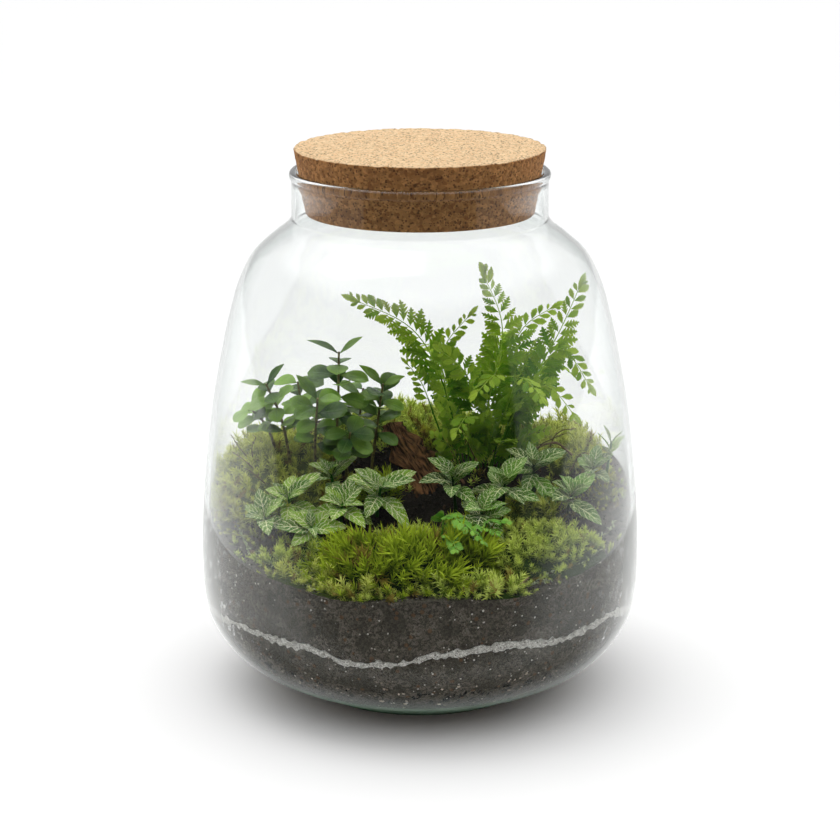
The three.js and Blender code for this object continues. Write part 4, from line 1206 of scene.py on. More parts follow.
class TERRARIUM_OT_jar(bpy.types.Operator):
    """Blow the jar: thick foot, tapered wall, shoulder, neck and rolled rim"""

    bl_idname = "terrarium.jar"
    bl_label = "Glass Jar"
    bl_options = {"REGISTER", "UNDO"}

    def execute(self, context):
        settings = context.scene.terrarium
        seat = CORK_BOTTOM_RADIUS + GAP + (RIM_HEIGHT - CORK_BOTTOM) * CORK_TAPER
        neck, throat = NECK_RADIUS, NECK_RADIUS - GLASS_WALL
        bead, top = NECK_RADIUS + RIM_BEAD, RIM_HEIGHT
        rim = [
            (neck, top - 12), (neck, top - 6), (neck + 0.3, top - 4.6), (bead, top - 3.4), (bead, top - 1.6),
            (bead - 0.4, top - 0.7), (bead - 1.3, top), (seat + 0.9, top), (seat + 0.1, top - 0.8),
            (seat, top - 2.6), (throat + 0.4, top - 5), (throat, top - 9),
        ]
        foot = [(0, 0), (30, 0), (60, 0)]
        inner = list(map(tuple, WALL_INNER[::-1]))
        floor = [(inner[-1][0] * k, GLASS_FLOOR) for k in (0.85, 0.5)]
        form = Form()
        add_lathe(form, [*foot, *map(tuple, WALL_OUTER), *rim, *inner, *floor, (0, GLASS_FLOOR)],
                  settings.glass_sides)
        make_piece("clear_jar", form, glass_material(settings), ["glass_jar"], sharp_from=50)
        return {"FINISHED"}


def pitted(points):
    """The cork with its pits, pressed granules and a chipped upper edge."""
    inward = unit(-points * [1, 1, 0])
    radius = np.hypot(points[:, 0], points[:, 1])
    rough = 0.22 * (1 + noise(points, 1.8, 3)) + 0.25 * np.maximum(0, noise(points, 2.6, 5))
    edge = np.exp(-((radius - CORK_TOP_RADIUS) / 1.6) ** 2) * (points[:, 2] > CORK_TOP - 2)
    chip = 1.6 * edge * np.maximum(0, noise(points, 3.2, 9) - 0.25)
    on_top = points[:, 2] > CORK_TOP - 0.3
    on_side = (~on_top) & (points[:, 2] > CORK_BOTTOM + 0.3)
    moved = points.copy()
    moved[on_side] += inward[on_side] * (rough + chip)[on_side, None]
    moved[on_top, 2] -= np.minimum(rough * 0.8, 0.6)[on_top] + chip[on_top]
    return moved


class TERRARIUM_OT_cork(bpy.types.Operator):
    """Press the cork lid, with pits and a worn edge"""

    bl_idname = "terrarium.cork"
    bl_label = "Cork Lid"
    bl_options = {"REGISTER", "UNDO"}

    def execute(self, context):
        rows = np.linspace(CORK_BOTTOM + CORK_EDGE, CORK_TOP - CORK_EDGE, 30)
        side = [(CORK_BOTTOM_RADIUS + (z - CORK_BOTTOM) * CORK_TAPER, z) for z in rows]
        under = [(r, CORK_BOTTOM) for r in (20, 40, 56, CORK_BOTTOM_RADIUS - CORK_EDGE)]
        over = [(r, CORK_TOP) for r in np.linspace(CORK_TOP_RADIUS - CORK_EDGE, 2, 40)]
        form = Form()
        add_lathe(form, [(0, CORK_BOTTOM), *under, *side, *over, (0, CORK_TOP)], sides=240, shape=pitted)
        material = cork_material(context.scene.terrarium)
        make_piece("cork_plug", form, material, ["cork_lid"], sharp_from=75)
        return {"FINISHED"}


# Fill

def add_layer(form, low, high, sides, wall_steps, top_rings, rough, seed):
    """A layer of the fill: its grains press on the glass, with hollows between them."""
    gap = GAP / 2
    x, y = round_jar(1, turns(sides))

    def at_wall(height, shift):
        radius = np.full(sides, 100.0)
        for _ in range(8):
            z = height(radius * x, radius * y)
            radius = glass_radius(z)
        return radius, z + shift

    def ring(radius, z):
        return np.stack([radius * x, radius * y, z], 1)

    r_low, z_low = at_wall(low, gap)
    r_high, z_high = at_wall(high, -gap)
    rings = [ring(r_low * k, low(r_low * k * x, r_low * k * y) + gap) for k in (0.3, 0.6, 0.85)]
    for t in np.linspace(0, 1, wall_steps + 1):
        z = z_low + (z_high - z_low) * t
        radius = glass_radius(z) + PRESS
        place = ring(radius, z)
        hollow = 0.6 * noise(place, 1.5, seed) + 0.5 * noise(place, 2.8, seed + 1) - 0.22
        rings.append(ring(radius - rough * np.clip(hollow, 0, 0.5), z))
    for k in np.linspace(0.985, 0.03, top_rings):
        radius = r_high * k
        z = high(radius * x, radius * y) - gap
        lumps = 1 + noise(ring(radius, z), 2.4, seed + 2)
        rings.append(ring(radius, z - rough * 0.6 * lumps))
    first = [0, 0, float(low(0.0, 0.0)) + gap]
    last = [0, 0, float(high(0.0, 0.0)) - gap - rough * 0.6]
    skin = np.vstack([first, *rings, last])
    form.add(skin, ring_faces(len(rings), sides, 0, len(skin) - 1))


def lump_template():
    """A small rounded stone or crumb."""
    g = (1 + 5 ** 0.5) / 2
    points = [(-1, g, 0), (1, g, 0), (-1, -g, 0), (1, -g, 0), (0, -1, g), (0, 1, g), (0, -1, -g), (0, 1, -g),
              (g, 0, -1), (g, 0, 1), (-g, 0, -1), (-g, 0, 1)]
    faces = [(0, 11, 5), (0, 5, 1), (0, 1, 7), (0, 7, 10), (0, 10, 11), (1, 5, 9), (5, 11, 4), (11, 10, 2),
             (10, 7, 6), (7, 1, 8), (3, 9, 4), (3, 4, 2), (3, 2, 6), (3, 6, 8), (3, 8, 9), (4, 9, 5),
             (2, 4, 11), (6, 2, 10), (8, 6, 7), (9, 8, 1)]
    return unit(np.array(points, float)), np.array(faces)


def split_lump(points, faces):
    """Each triangle into four, on the same round form."""
    middle = {}
    points = list(map(np.array, points))

    def between(a, b):
        key = (min(a, b), max(a, b))
        if key not in middle:
            middle[key] = len(points)
            points.append(unit(points[a] + points[b]))
        return middle[key]

    finer = []
    for a, b, c in faces:
        ab, bc, ca = between(a, b), between(b, c), between(c, a)
        finer += [(a, ab, ca), (ab, b, bc), (ca, bc, c), (ab, bc, ca)]
    return np.array(points), np.array(finer)


CRUMB = lump_template()
STONE = split_lump(*CRUMB)


def add_lumps(form, rng, template, places, radii, flat=0.7):
    """Stones or crumbs at places, each squeezed and turned its own way."""
    points, faces = template
    count = len(places)
    sizes = radii[:, None] * rng.uniform([0.75, 0.75, 0.75 * flat], [1.25, 1.25, 1.25 * flat], (count, 3))
    local = points[None] * sizes[:, None] * (1 + 0.18 * rng.uniform(-1, 1, (count, len(points), 1)))
    first = unit(rng.normal(size=(count, 3)))
    second = unit(np.cross(first, rng.normal(size=(count, 3))))
    third = np.cross(first, second)
    world = (places[:, None] + local[..., 0:1] * first[:, None] + local[..., 1:2] * second[:, None]
             + local[..., 2:3] * third[:, None])
    marks = np.zeros(world.shape)
    marks[..., 2] = rng.random(count)[:, None]
    form.add_many(world, faces, marks)


class TERRARIUM_OT_gravel(bpy.types.Operator):
    """Pour the gravel: a bed, and small stones against the glass"""

    bl_idname = "terrarium.gravel"
    bl_label = "Gravel"
    bl_options = {"REGISTER", "UNDO"}
    seed = 11
    pile = 33

    def execute(self, context):
        rng = np.random.default_rng(self.seed)
        bed = Form()
        add_layer(bed, lambda x, y: GLASS_FLOOR + 0 * x, gravel_top,
                  sides=400, wall_steps=14, top_rings=3, rough=1.4, seed=21)
        dust = fill_material("gravel dust", (0.03, 0.022, 0.016), (0.3, 0.22, 0.15), grain=2.2,
                             speck_share=0.16, speck_colour=(0.7, 0.58, 0.46), fleck_colour=(0.3, 0.19, 0.12))
        make_piece("gravel_bed", bed, dust, ["gravel_layer"], sharp_from=80)
        stones = Form()
        count = context.scene.terrarium.pebble_count
        z = GLASS_FLOOR + 1 + self.pile * rng.random(count) ** 1.5
        radii = rng.uniform(0.5, 2.1, count) * rng.uniform(0.5, 1, count)
        at_glass = glass_radius(z) + PRESS + 0.15 - 0.75 * radii
        x, y = round_jar(at_glass, any_turn(rng, count))
        add_lumps(stones, rng, STONE, np.stack([x, y, z], 1), radii)
        pebble = stone_material("small stones", (0.2, 0.15, 0.1), (1.0, 0.84, 0.7), mottle=(0.26, 0.2, 0.15))
        make_piece("pebbles", stones, pebble)
        return {"FINISHED"}


class TERRARIUM_OT_soil(bpy.types.Operator):
    """Fill in both layers of soil and their loose crumbs"""

    bl_idname = "terrarium.soil"
    bl_label = "Soil"
    bl_options = {"REGISTER", "UNDO"}
    seed = 12
    crumb_reach = 118
    pale_speck_count = 420

    def execute(self, context):
        settings = context.scene.terrarium
        rng = np.random.default_rng(self.seed)
        # inside=0.8 paints shade over the soil away from the glass, under the plants
        soil = fill_material("potting soil", settings.soil_colour, (0.22, 0.195, 0.16), grain=1.2,
                             speck_share=0.05, speck_colour=(0.6, 0.56, 0.5),
                             fleck_colour=(0.15, 0.085, 0.045), relief=0.6, inside=0.8, patches=0.7)
        lower, upper = Form(), Form()
        add_layer(lower, gravel_top, SAND_FOOT, sides=600, wall_steps=24, top_rings=3, rough=1.0, seed=31)
        make_piece("lower_soil_fill", lower, soil, ["lower_soil"], sharp_from=80)
        add_layer(upper, SAND_CREST, soil_top, sides=600, wall_steps=28, top_rings=22, rough=1.1, seed=41)
        make_piece("upper_soil_fill", upper, soil, ["upper_soil"], sharp_from=80)
        self.add_crumbs(rng, settings.crumb_count)
        self.add_pale_specks(rng, self.pale_speck_count)
        return {"FINISHED"}

    def add_crumbs(self, rng, count):
        x, y = scattered(rng, count, self.crumb_reach)
        z = soil_top(x, y) - 0.3 + rng.uniform(0, 0.9, count)
        fits = np.hypot(x, y) < room_radius(z) - 1.6
        places = np.stack([x, y, z], 1)[fits]
        form = Form()
        add_lumps(form, rng, CRUMB, places, rng.uniform(0.4, 1.3, len(places)), flat=0.9)
        crumb = stone_material("soil crumbs", (0.008, 0.006, 0.004), (0.06, 0.04, 0.025),
                               mottle=(0.02, 0.013, 0.009), roughness=0.95)
        make_piece("soil_crumbs", form, crumb)

    def add_pale_specks(self, rng, count):
        turn = any_turn(rng, count)
        z = rng.uniform(GRAVEL_TOP + 2, 100, count)
        x, y = round_jar(glass_radius(z) - rng.uniform(0.1, 0.5, count), turn)
        clear = (np.abs(z - sand_top(x, y) + SAND_THICKNESS / 2) > 3.5) & (z < soil_top(x, y) - 1)
        places = np.stack([x, y, z], 1)[clear]
        form = Form()
        add_lumps(form, rng, CRUMB, places, rng.uniform(0.3, 0.8, len(places)), flat=0.9)
        speck = stone_material("pale specks", (0.45, 0.4, 0.34), (0.85, 0.82, 0.76),
                               mottle=(0.35, 0.3, 0.25), roughness=0.9)
        make_piece("pale_specks", form, speck)


class TERRARIUM_OT_sand(bpy.types.Operator):
    """Lay the thin wavy layer of pale sand"""

    bl_idname = "terrarium.sand"
    bl_label = "Sand"
    bl_options = {"REGISTER", "UNDO"}
    seed = 13
    grain_count = 1000

    def execute(self, context):
        sand = Form()
        add_layer(sand, SAND_FOOT, SAND_CREST, sides=720, wall_steps=7, top_rings=3, rough=0.5, seed=51)
        pale = fill_material("pale sand", (0.34, 0.32, 0.28), (1.0, 0.98, 0.93), grain=0.75, speck_share=0.24,
                             speck_colour=(0.06, 0.05, 0.04), fleck_colour=(0.13, 0.11, 0.09), relief=0.5)
        make_piece("sand_band", sand, pale, ["sand_layer"], sharp_from=80)
        rng = np.random.default_rng(self.seed)
        count = self.grain_count
        turn = any_turn(rng, count)
        r = np.full(count, 122.0)
        for _ in range(5):
            z = sand_top(*round_jar(r, turn)) - SAND_THICKNESS / 2
            r = room_radius(z)
        z = z + rng.normal(0, 2.2, count)
        x, y = round_jar(glass_radius(z) - 0.15, turn)
        loose = Form()
        add_lumps(loose, rng, CRUMB, np.stack([x, y, z], 1), rng.uniform(0.2, 0.55, count), flat=0.9)
        grain = stone_material("sand grains", (0.3, 0.26, 0.21), (0.95, 0.92, 0.86),
                               mottle=(0.25, 0.2, 0.16), roughness=0.9)
        make_piece("sand_grains", loose, grain)
        return {"FINISHED"}


# Wood

def add_driftwood(form):
    """A tapered, deeply fibred lump of wood; marks hold the share along and round it."""
    start = np.array(BARK_FOOT, float)
    axis = np.array(BARK_HEAD, float) - start
    length = np.linalg.norm(axis)
    axis = unit(axis)
    across = np.array([0.86, 0.5, 0])
    across = unit(across - axis * across.dot(axis))
    depth = np.cross(axis, across)
    rows, sides = 56, 72
    share = np.linspace(0, 1, rows)[:, None]
    turn = turns(sides)[None]
    taper = (1 - 0.45 * share) * np.where(share > 0.96, 0.8, 1)
    fibres = 1 + 0.15 * np.sin(turn * 7 + 3 * share) + 0.1 * np.sin(turn * 13 - 4 * share)
    place = np.stack(np.broadcast_arrays(share * 60, 9 * np.cos(turn), 9 * np.sin(turn)), -1)
    rough = fibres * (0.84 + 0.42 * noise(place, 8, 61) + 0.34 * noise(place, 3, 62))
    wide = BARK_HALF_WIDTH * taper * rough * np.cos(turn) + 2.5 * np.sin(share * 5)
    thick = BARK_HALF_DEPTH * taper * rough * np.sin(turn)
    ring = (start + (share * length + 0 * turn)[..., None] * axis + wide[..., None] * across
            + thick[..., None] * depth).reshape(-1, 3)
    skin = np.vstack([start, ring, start + axis * (length + 0.5)])
    marks = np.zeros(skin.shape)
    marks[1:-1, 0] = np.repeat(share.ravel(), sides)
    marks[1:-1, 1] = np.abs(np.tile(turn.ravel() / math.pi - 1, rows))
    form.add(skin, ring_faces(rows, sides, 0, len(skin) - 1), marks)


class TERRARIUM_OT_wood(bpy.types.Operator):
    """Carve the driftwood and lay the dry twigs"""

    bl_idname = "terrarium.wood"
    bl_label = "Driftwood and Twigs"
    bl_options = {"REGISTER", "UNDO"}

    def execute(self, context):
        wood = wood_material("driftwood", (0.006, 0.004, 0.003), (0.28, 0.14, 0.06), (9.0, 22.0, 1.0))
        twig = wood_material("dry twig", (0.12, 0.07, 0.035), (0.42, 0.3, 0.17), (12.0, 6.0, 1.0))
        bark = Form()
        add_driftwood(bark)
        make_piece("weathered_driftwood", bark, wood, ["driftwood"], sharp_from=70)
        for name, (radius, points) in TWIGS.items():
            shares = np.linspace(0, 1, 40)
            line = above_soil(points).at(shares)
            line = line + 0.25 * noise_shift(line, 4, 71)
            knots = radius * (1.05 - 0.35 * shares + 0.14 * noise(line, 3, 74))
            stick = Form()
            add_tube(stick, line, knots, sides=8)
            make_piece(name + "_stick", stick, twig, [name])
        return {"FINISHED"}


# Moss

class TERRARIUM_OT_moss(bpy.types.Operator):
    """Grow the moss cushions and the loose moss between them"""

    bl_idname = "terrarium.moss"
    bl_label = "Moss"
    bl_options = {"REGISTER", "UNDO"}
    seed = 100
    loose_seed = 140
    loose_count = 1500
    loose_reach = 121

    def execute(self, context):
        settings = context.scene.terrarium
        materials = {kind: moss_material(look["name"], *look["colours"]) for kind, look in MOSS_KINDS.items()}
        tufts = [(f"tuft_{i + 1}", spec) for i, spec in enumerate(MOSS_TUFTS)]
        for name, spec in (*MOSS_CUSHIONS.items(), *tufts):
            kind = MOSS_KINDS[spec["kind"]]
            rng = np.random.default_rng(self.seed + spec["seed"])
            shoots = self.shoots(rng, kind["shoot"])
            x, y = self.scatter(rng, spec, settings.moss_spacing * kind["spacing"])
            share = cushion_share(spec, x, y)
            outside = share > 1
            place = np.stack([x, y, cushion_top(spec, x, y)], 1)
            away = np.stack([x - spec["centre"][0], y - spec["centre"][1], 0 * x], 1)
            flow = noise_shift(place, 9, spec["seed"] + 31)
            ups = UP + unit(away) * (0.6 * share ** 2)[:, None] + 0.9 * flow
            ups = ups + rng.normal(0, kind["lean"], (len(x), 3))
            tall = 1 + 0.6 * noise(place, 10, spec["seed"])
            sizes = rng.uniform(0.7, 1.2, len(x)) * np.where(outside, 0.6, tall)
            place[:, 2] -= np.where(outside, 1, 3)
            form = Form()
            add_cushion_core(form, spec)
            add_shoots(form, rng, shoots, place, ups, sizes)
            nodes = [name] if name in MOSS_CUSHIONS else []
            make_piece("moss_" + name.replace("moss_", "cushion_"), form, materials[spec["kind"]],
                       nodes, sharp_from=80)
        self.add_loose_moss(materials["feathery"])
        return {"FINISHED"}

    def shoots(self, rng, shoot):
        return [moss_shoot(rng, **shoot) for _ in range(5)]

    def scatter(self, rng, spec, spacing):
        """Places of shoots on a cushion, and thinning out past its rim."""
        reach = np.array(spec["reach"]) * 1.65
        across = np.arange(-reach[0], reach[0], spacing)
        up = np.arange(-reach[1], reach[1], spacing)
        x, y = (grid.ravel() for grid in np.meshgrid(across, up))
        x = x + rng.uniform(-0.5, 0.5, len(x)) * spacing + spec["centre"][0]
        y = y + rng.uniform(-0.5, 0.5, len(y)) * spacing + spec["centre"][1]
        share = cushion_share(spec, x, y)
        thinning = 1.3 if spec["centre"][1] < -50 else 2.4
        inside = (share < 1) | (rng.random(len(x)) < 0.85 - thinning * (share - 1))
        inside &= np.hypot(x, y) < room_radius(cushion_top(spec, x, y)) - 0.6
        return x[inside], y[inside]

    def add_loose_moss(self, material):
        rng = np.random.default_rng(self.loose_seed)
        x, y = scattered(rng, self.loose_count, self.loose_reach)
        z = soil_top(x, y)
        bare = np.all([cushion_share(spec, x, y) > 1 for spec in MOSS_CUSHIONS.values()], axis=0)
        patchy = noise(np.stack([x, y, 0 * x], 1), 22, 9) > -0.1
        bare &= patchy & (np.hypot(x, y) < room_radius(z) - 1.5)
        places = np.stack([x, y, z - 0.8], 1)[bare]
        ups = UP + rng.normal(0, 0.25, (len(places), 3))
        shoots = self.shoots(rng, dict(MOSS_KINDS["feathery"]["shoot"], height=4.0, leaves=12))
        form = Form()
        add_shoots(form, rng, shoots, places, ups, rng.uniform(0.6, 1.1, len(places)))
        make_piece("loose_moss", form, material, sharp_from=80)


# Litter

def add_wisp(form, rng, path, radius, leaves, size):
    """A thin creeping stem with small leaves."""
    shares = np.linspace(0, 1, 24)
    line = path.at(shares)
    line = keep_inside(line + 0.6 * noise_shift(line, 7, 81), 1.5)
    add_tube(form, line, radius * (1.1 - 0.6 * shares), sides=4, mark=(0.3, 0, -1))
    at = rng.uniform(0.08, 1, leaves)
    roots = np.stack([np.interp(at, shares, line[:, k]) for k in range(3)], 1)
    alongs = unit(path.along(at) * 0.6 + rng.normal(0, 0.7, (leaves, 3)) + [0, 0, 0.35])
    sizes = size * rng.uniform(0.6, 1.2, leaves)
    normals = unit(UP + rng.normal(0, 0.3, (leaves, 3)))
    add_leaves(form, TINY_LEAF, roots, alongs, normals, sizes, sizes * 0.4,
               arches=0.2, folds=0.1, thickness=0.25, draws=rng.random(leaves))


class TERRARIUM_OT_litter(bpy.types.Operator):
    """Lay pale creeping wisps, dry sprigs and broken bark on the soil"""

    bl_idname = "terrarium.litter"
    bl_label = "Litter"
    bl_options = {"REGISTER", "UNDO"}
    seed = 18
    chip_count = 240
    chip_reach = 112

    def execute(self, context):
        rng = np.random.default_rng(self.seed)
        wisps, sprigs, chips = Form(), Form(), Form()
        for points in WISPS:
            path = above_soil([(x, y, 0.8) for x, y in points])
            add_wisp(wisps, rng, path, radius=0.35, leaves=44, size=2.2)
        pale = leaf_material("creeping wisp", (0.3, 0.36, 0.18), (0.66, 0.74, 0.42), 0.6)
        make_piece("creeping_wisps", wisps, pale)
        for points in DRY_SPRIGS:
            add_wisp(sprigs, rng, above_soil(points), radius=0.4, leaves=16, size=2.6)
        dry = leaf_material("dry sprig", (0.14, 0.09, 0.035), (0.4, 0.33, 0.12), 0.7)
        make_piece("dry_sprigs", sprigs, dry)
        x, y = scattered(rng, self.chip_count, self.chip_reach)
        places = np.stack([x, y, soil_top(x, y) + 0.2], 1)
        add_lumps(chips, rng, CRUMB, places, rng.uniform(0.8, 2.4, self.chip_count), flat=0.35)
        bark = stone_material("bark chips", (0.05, 0.024, 0.012), (0.26, 0.13, 0.06),
                              mottle=(0.03, 0.015, 0.008), roughness=0.85)
        make_piece("bark_chips", chips, bark)
        return {"FINISHED"}


# Plants

class TERRARIUM_OT_fern(bpy.types.Operator):
    """Unfurl the fern and the bright creeping sprig"""

    bl_idname = "terrarium.fern"
    bl_label = "Fern and Sprig"
    bl_options = {"REGISTER", "UNDO"}
    seed = 15

    def execute(self, context):
        rng = np.random.default_rng(self.seed)
        tall, low, sprig = Form(), Form(), Form()
        for spec in FRONDS:
            add_frond(tall, spec, TO_FRONT, rng)
        for spec in LOW_FRONDS:
            add_frond(low, spec, UP, rng)
        for spec in YOUNG_FRONDS:
            add_frond(low, spec, unit(TO_FRONT + UP + rng.normal(0, 0.5, 3)), rng, broad=0.28)
        fern = leaf_material("fern", context.scene.terrarium.fern_colour, (0.48, 0.72, 0.06), 0.45,
                             vein=(0.4, 0.55, 0.14), vein_width=0.1, count=3.0, vein_share=0.3, tip=0.45,
                             sheen=0.15)
        make_piece("fern_tall", tall, fern, numbered("fern_frond", FRONDS))
        make_piece("fern_low", low, fern, numbered("fern_low_frond", LOW_FRONDS))
        for spec in (SPRIG, *SPRIG_BRANCHES):
            add_frond(sprig, spec, UP, rng, broad=0.2)
        bright = leaf_material("bright sprig", (0.1, 0.34, 0.03), (0.3, 0.62, 0.07), 0.42,
                               vein=(0.4, 0.66, 0.16), vein_width=0.1, count=4.0, vein_share=0.3)
        make_piece("creeping_sprig", sprig, bright, ["sprig_front"])
        return {"FINISHED"}


class TERRARIUM_OT_shrub(bpy.types.Operator):
    """Grow the leafy shrub at the left"""

    bl_idname = "terrarium.shrub"
    bl_label = "Shrub"
    bl_options = {"REGISTER", "UNDO"}
    seed = 16
    tall_stems = 4
    younger = (2, 4, 5)

    def execute(self, context):
        rng = np.random.default_rng(self.seed)
        leaves, stems = Form(), Form()
        for i, (base, way, tip, yaw, pairs, length) in enumerate(SHRUB_STEMS):
            path = stem_path(base, [way], tip)
            add_stem(stems, path, 0.95)
            for k in range(2 * pairs + 1):
                top = k == 0 and i < self.tall_stems
                turn = yaw + 90 * (k % 2) + rng.uniform(-22, 22)
                rise = 0.7 if top else rng.uniform(-0.05, 0.6)
                roots, alongs, normals = leaf_pair(path, 0.985 - k * 0.078, turn, rise, 0.9)
                normals = unit(normals + rng.uniform(0.1, 1.1, (2, 1)) * TO_FRONT)
                size = length * (1 if top else 1.04 - 0.03 * k) * rng.uniform(0.82, 1.08, 2)
                add_leaves(leaves, LONG_LEAF if top else ROUND_LEAF, roots, alongs, normals, size,
                           size * (0.42 if top else 0.66), arches=rng.uniform(0.1, 0.34, 2), folds=0.09,
                           bends=rng.uniform(-0.08, 0.12, 2), thickness=0.5,
                           draws=rng.random(2) * (1.4 if i in self.younger else 0.75))
        leaf = leaf_material("glossy shrub leaf", context.scene.terrarium.shrub_colour, (0.3, 0.52, 0.07),
                             0.26, vein=(0.16, 0.3, 0.08), vein_width=0.05, count=7.0, vein_share=0.35,
                             relief=0.2, sheen=0.38)
        make_piece("shrub_leaves", leaves, leaf, numbered("shrub_stem", SHRUB_STEMS))
        stem = plain_stem_material("shrub stem", (0.1, 0.07, 0.02), (0.3, 0.26, 0.08))
        make_piece("shrub_stems", stems, stem)
        return {"FINISHED"}


class TERRARIUM_OT_veined(bpy.types.Operator):
    """Grow the white-veined plants and the slender shoot"""

    bl_idname = "terrarium.veined"
    bl_label = "Veined Plants"
    bl_options = {"REGISTER", "UNDO"}
    seed = 17

    def execute(self, context):
        rng = np.random.default_rng(self.seed)
        pale = leaf_material("veined leaf", context.scene.terrarium.veined_colour, (0.34, 0.6, 0.03), 0.4,
                             vein=(1.0, 1.0, 0.6), vein_width=0.115, net=0.052, relief=0.3, sheen=0.1)
        dim = leaf_material("darker veined leaf", (0.008, 0.06, 0.002), (0.13, 0.36, 0.015), 0.4,
                            vein=(0.95, 1.0, 0.55), vein_width=0.1, net=0.045, relief=0.3, sheen=0.1)
        for group, stems, material in (("left", VEINED_LEFT, pale), ("right", VEINED_RIGHT, dim)):
            form = Form()
            for base, crown, yaw, pairs, length in stems:
                path = stem_path(base, [], crown)
                add_stem(form, path, 1.1, mark=(0.2, 0, -1))
                for k, (at, long, wide, rise, template) in enumerate(VEINED_PAIRS):
                    if k == 2 and pairs < 3:
                        continue
                    turn = yaw + 90 * k + (0 if k < 3 else 45) + rng.uniform(-16, 16)
                    roots, alongs, normals = leaf_pair(path, at, turn, rise + rng.uniform(-0.2, 0.2), 1.1)
                    normals = unit(normals + rng.uniform(0, 0.5, (2, 1)) * TO_FRONT)
                    size = length * long * rng.uniform(0.9, 1.1, 2)
                    add_leaves(form, template, roots, alongs, normals, size, size / long * wide,
                               arches=rng.uniform(0.35, 0.65, 2), folds=0.2,
                               bends=rng.uniform(0.0, 0.26, 2), thickness=0.45, draws=rng.random(2))
            make_piece("veined_plants_" + group, form, material,
                       numbered("veined_" + group, stems))
        shoot = Form()
        path = stem_path(SHOOT_FOOT, [], SHOOT_TIP)
        add_stem(shoot, path, 1.0, mark=(0.2, 0, -1))
        for at, turn, length, width, rise in SHOOT_PAIRS:
            roots, alongs, normals = leaf_pair(path, at, turn, rise, 1.0)
            add_leaves(shoot, YOUNG_LEAF, roots, alongs, normals, length, width,
                       arches=0.22, folds=0.1, thickness=0.4, draws=rng.random(2))
        make_piece("slender_plant", shoot, pale, ["slender_shoot"])
        return {"FINISHED"}


# Stage

def grey(value):
    return (value, value, value, 1)


def floor_material():
    """White floor; seen in the glass it is painted dark towards the front, with a painted glow right round
    the jar.
    """
    material, tree, shader = new_material("pale floor", 0.7, Specular_IOR_Level=0.15)
    place = local_place(tree)
    bearing = axes(tree, vector_math(tree, "NORMALIZE", place)[0])
    aside = ramp(tree, bearing["Y"], -0.6, 0.35)
    # Painted reflection: rays from the glass see the front of the floor painted dark
    depth = tree.nodes.new("ShaderNodeLightPath").outputs["Glossy Depth"]
    mirrored = math_node(tree, "GREATER_THAN", depth, 0.5)
    set_colour(tree, shader, mix(tree, mirrored, grey(0.95), mix(tree, aside, grey(0.03), grey(0.95))))
    # Painted glow: seen in the glass, the floor close round the jar shines though it is no lamp
    close = fall(tree, vector_math(tree, "LENGTH", place)["Value"], 0.2, 0.34)
    reflected_glow = times(tree, times(tree, mirrored, aside), times(tree, close, 0.55))
    shader.inputs["Emission Color"].default_value = grey(1)
    tree.links.new(reflected_glow, shader.inputs["Emission Strength"])
    return material


def add_floor(scene):
    """A wide floor that begins a little in front of the jar."""
    half, front = 9, -0.3
    mesh = bpy.data.meshes.new("floor")
    mesh.from_pydata([(-half, front, 0), (half, front, 0), (half, half, 0), (-half, half, 0)], [],
                     [(0, 1, 2, 3)])
    mesh.materials.append(floor_material())
    floor = bpy.data.objects.new("floor", mesh)
    scene.collection.objects.link(floor)


def set_world(scene):
    """White behind the jar; the glass mirrors a room with a bright ceiling and a dark front."""
    world = bpy.data.worlds.new("studio")
    world.use_nodes = True
    tree = world.node_tree
    toward = axes(tree, tree.nodes.new("ShaderNodeTexCoord").outputs["Generated"])
    low = mix(tree, ramp(tree, toward["Y"], 0.1, 0.95), grey(0.03), grey(0.75))
    glow = mix(tree, ramp(tree, toward["Z"], 0.42, 0.78), low, grey(1.55))
    path = tree.nodes.new("ShaderNodeLightPath").outputs
    through = times(tree, path["Is Transmission Ray"],
                    math_node(tree, "LESS_THAN", path["Glossy Depth"], 0.5))
    seen = math_node(tree, "MAXIMUM", path["Is Camera Ray"], through)
    tree.links.new(mix(tree, seen, glow, grey(1)), tree.nodes["Background"].inputs["Color"])
    scene.world = world


def add_softbox(scene, name, place, turn, size, power):
    """A soft light that fades towards its lower and upper edges."""
    light = bpy.data.lights.new(name, "AREA")
    light.shape = "RECTANGLE"
    light.size, light.size_y = size
    light.energy = power
    light.use_nodes = True
    tree = light.node_tree
    spot = axes(tree, tree.nodes.new("ShaderNodeNewGeometry").outputs["Parametric"])
    off = math_node(tree, "ABSOLUTE", math_node(tree, "SUBTRACT", spot["X"], 0.5))
    tree.links.new(fall(tree, off, 0.3, 0.5), tree.nodes["Emission"].inputs["Strength"])
    lamp = bpy.data.objects.new(name, light)
    lamp.location = place
    lamp.rotation_euler = [math.radians(a) for a in turn]
    scene.collection.objects.link(lamp)


def add_camera(scene):
    """The photograph's view: from in front and above, looking down on the jar."""
    lens = bpy.data.cameras.new("camera")
    lens.sensor_width = SENSOR
    lens.lens = FOCAL_PIXELS / IMAGE_SIDE * SENSOR
    camera = bpy.data.objects.new("camera", lens)
    camera.location = CAMERA_PLACE
    camera.rotation_euler = (math.radians(90 - CAMERA_DOWN), 0, 0)
    scene.collection.objects.link(camera)
    scene.camera = camera


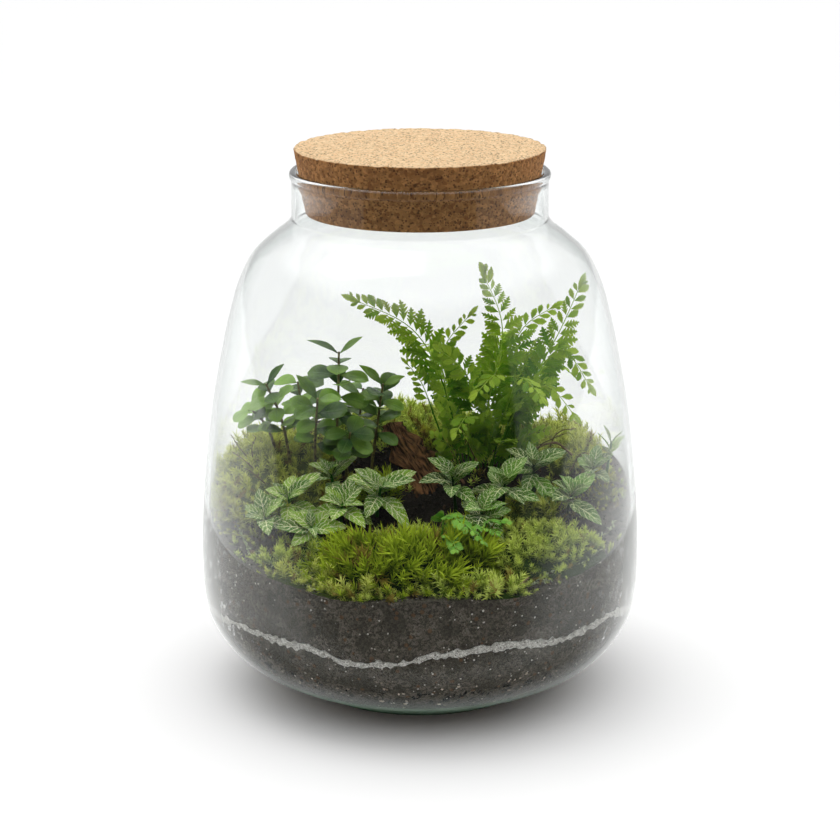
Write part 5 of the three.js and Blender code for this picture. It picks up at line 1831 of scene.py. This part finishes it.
class TERRARIUM_OT_stage(bpy.types.Operator):
    """Set the pale floor, the soft lights and the camera"""

    bl_idname = "terrarium.stage"
    bl_label = "Stage"
    bl_options = {"REGISTER", "UNDO"}

    def execute(self, context):
        scene = context.scene
        add_floor(scene)
        set_world(scene)
        for softbox in SOFTBOXES:
            add_softbox(scene, *softbox)
        add_camera(scene)
        scene.view_settings.view_transform = "Standard"
        return {"FINISHED"}


class TERRARIUM_PT_panel(bpy.types.Panel):
    """Lists the settings and the pieces of the terrarium"""

    bl_idname = "TERRARIUM_PT_panel"
    bl_label = "Terrarium"
    bl_space_type = "VIEW_3D"
    bl_region_type = "UI"
    bl_category = "Terrarium"

    def draw(self, context):
        settings = context.scene.terrarium
        for name in settings.bl_rna.properties.keys():
            if name not in ("rna_type", "name"):
                self.layout.prop(settings, name)
        for operator in OPERATORS:
            self.layout.operator(operator.bl_idname)


OPERATORS = (
    TERRARIUM_OT_stage, TERRARIUM_OT_jar, TERRARIUM_OT_cork, TERRARIUM_OT_gravel, TERRARIUM_OT_soil,
    TERRARIUM_OT_sand, TERRARIUM_OT_wood, TERRARIUM_OT_moss, TERRARIUM_OT_litter, TERRARIUM_OT_fern,
    TERRARIUM_OT_shrub, TERRARIUM_OT_veined,
)


def register():
    for one in (TerrariumSettings, *OPERATORS, TERRARIUM_PT_panel):
        bpy.utils.register_class(one)
    bpy.types.Scene.terrarium = PointerProperty(type=TerrariumSettings)


def unregister():
    del bpy.types.Scene.terrarium
    for one in reversed((TerrariumSettings, *OPERATORS, TERRARIUM_PT_panel)):
        bpy.utils.unregister_class(one)


def main():
    register()
    bpy.ops.terrarium.stage()
    bpy.ops.terrarium.jar()
    bpy.ops.terrarium.cork()
    bpy.ops.terrarium.gravel()
    bpy.ops.terrarium.soil()
    bpy.ops.terrarium.sand()
    bpy.ops.terrarium.wood()
    bpy.ops.terrarium.moss()
    bpy.ops.terrarium.litter()
    bpy.ops.terrarium.fern()
    bpy.ops.terrarium.shrub()
    bpy.ops.terrarium.veined()


if __name__ == "__main__":
    main()
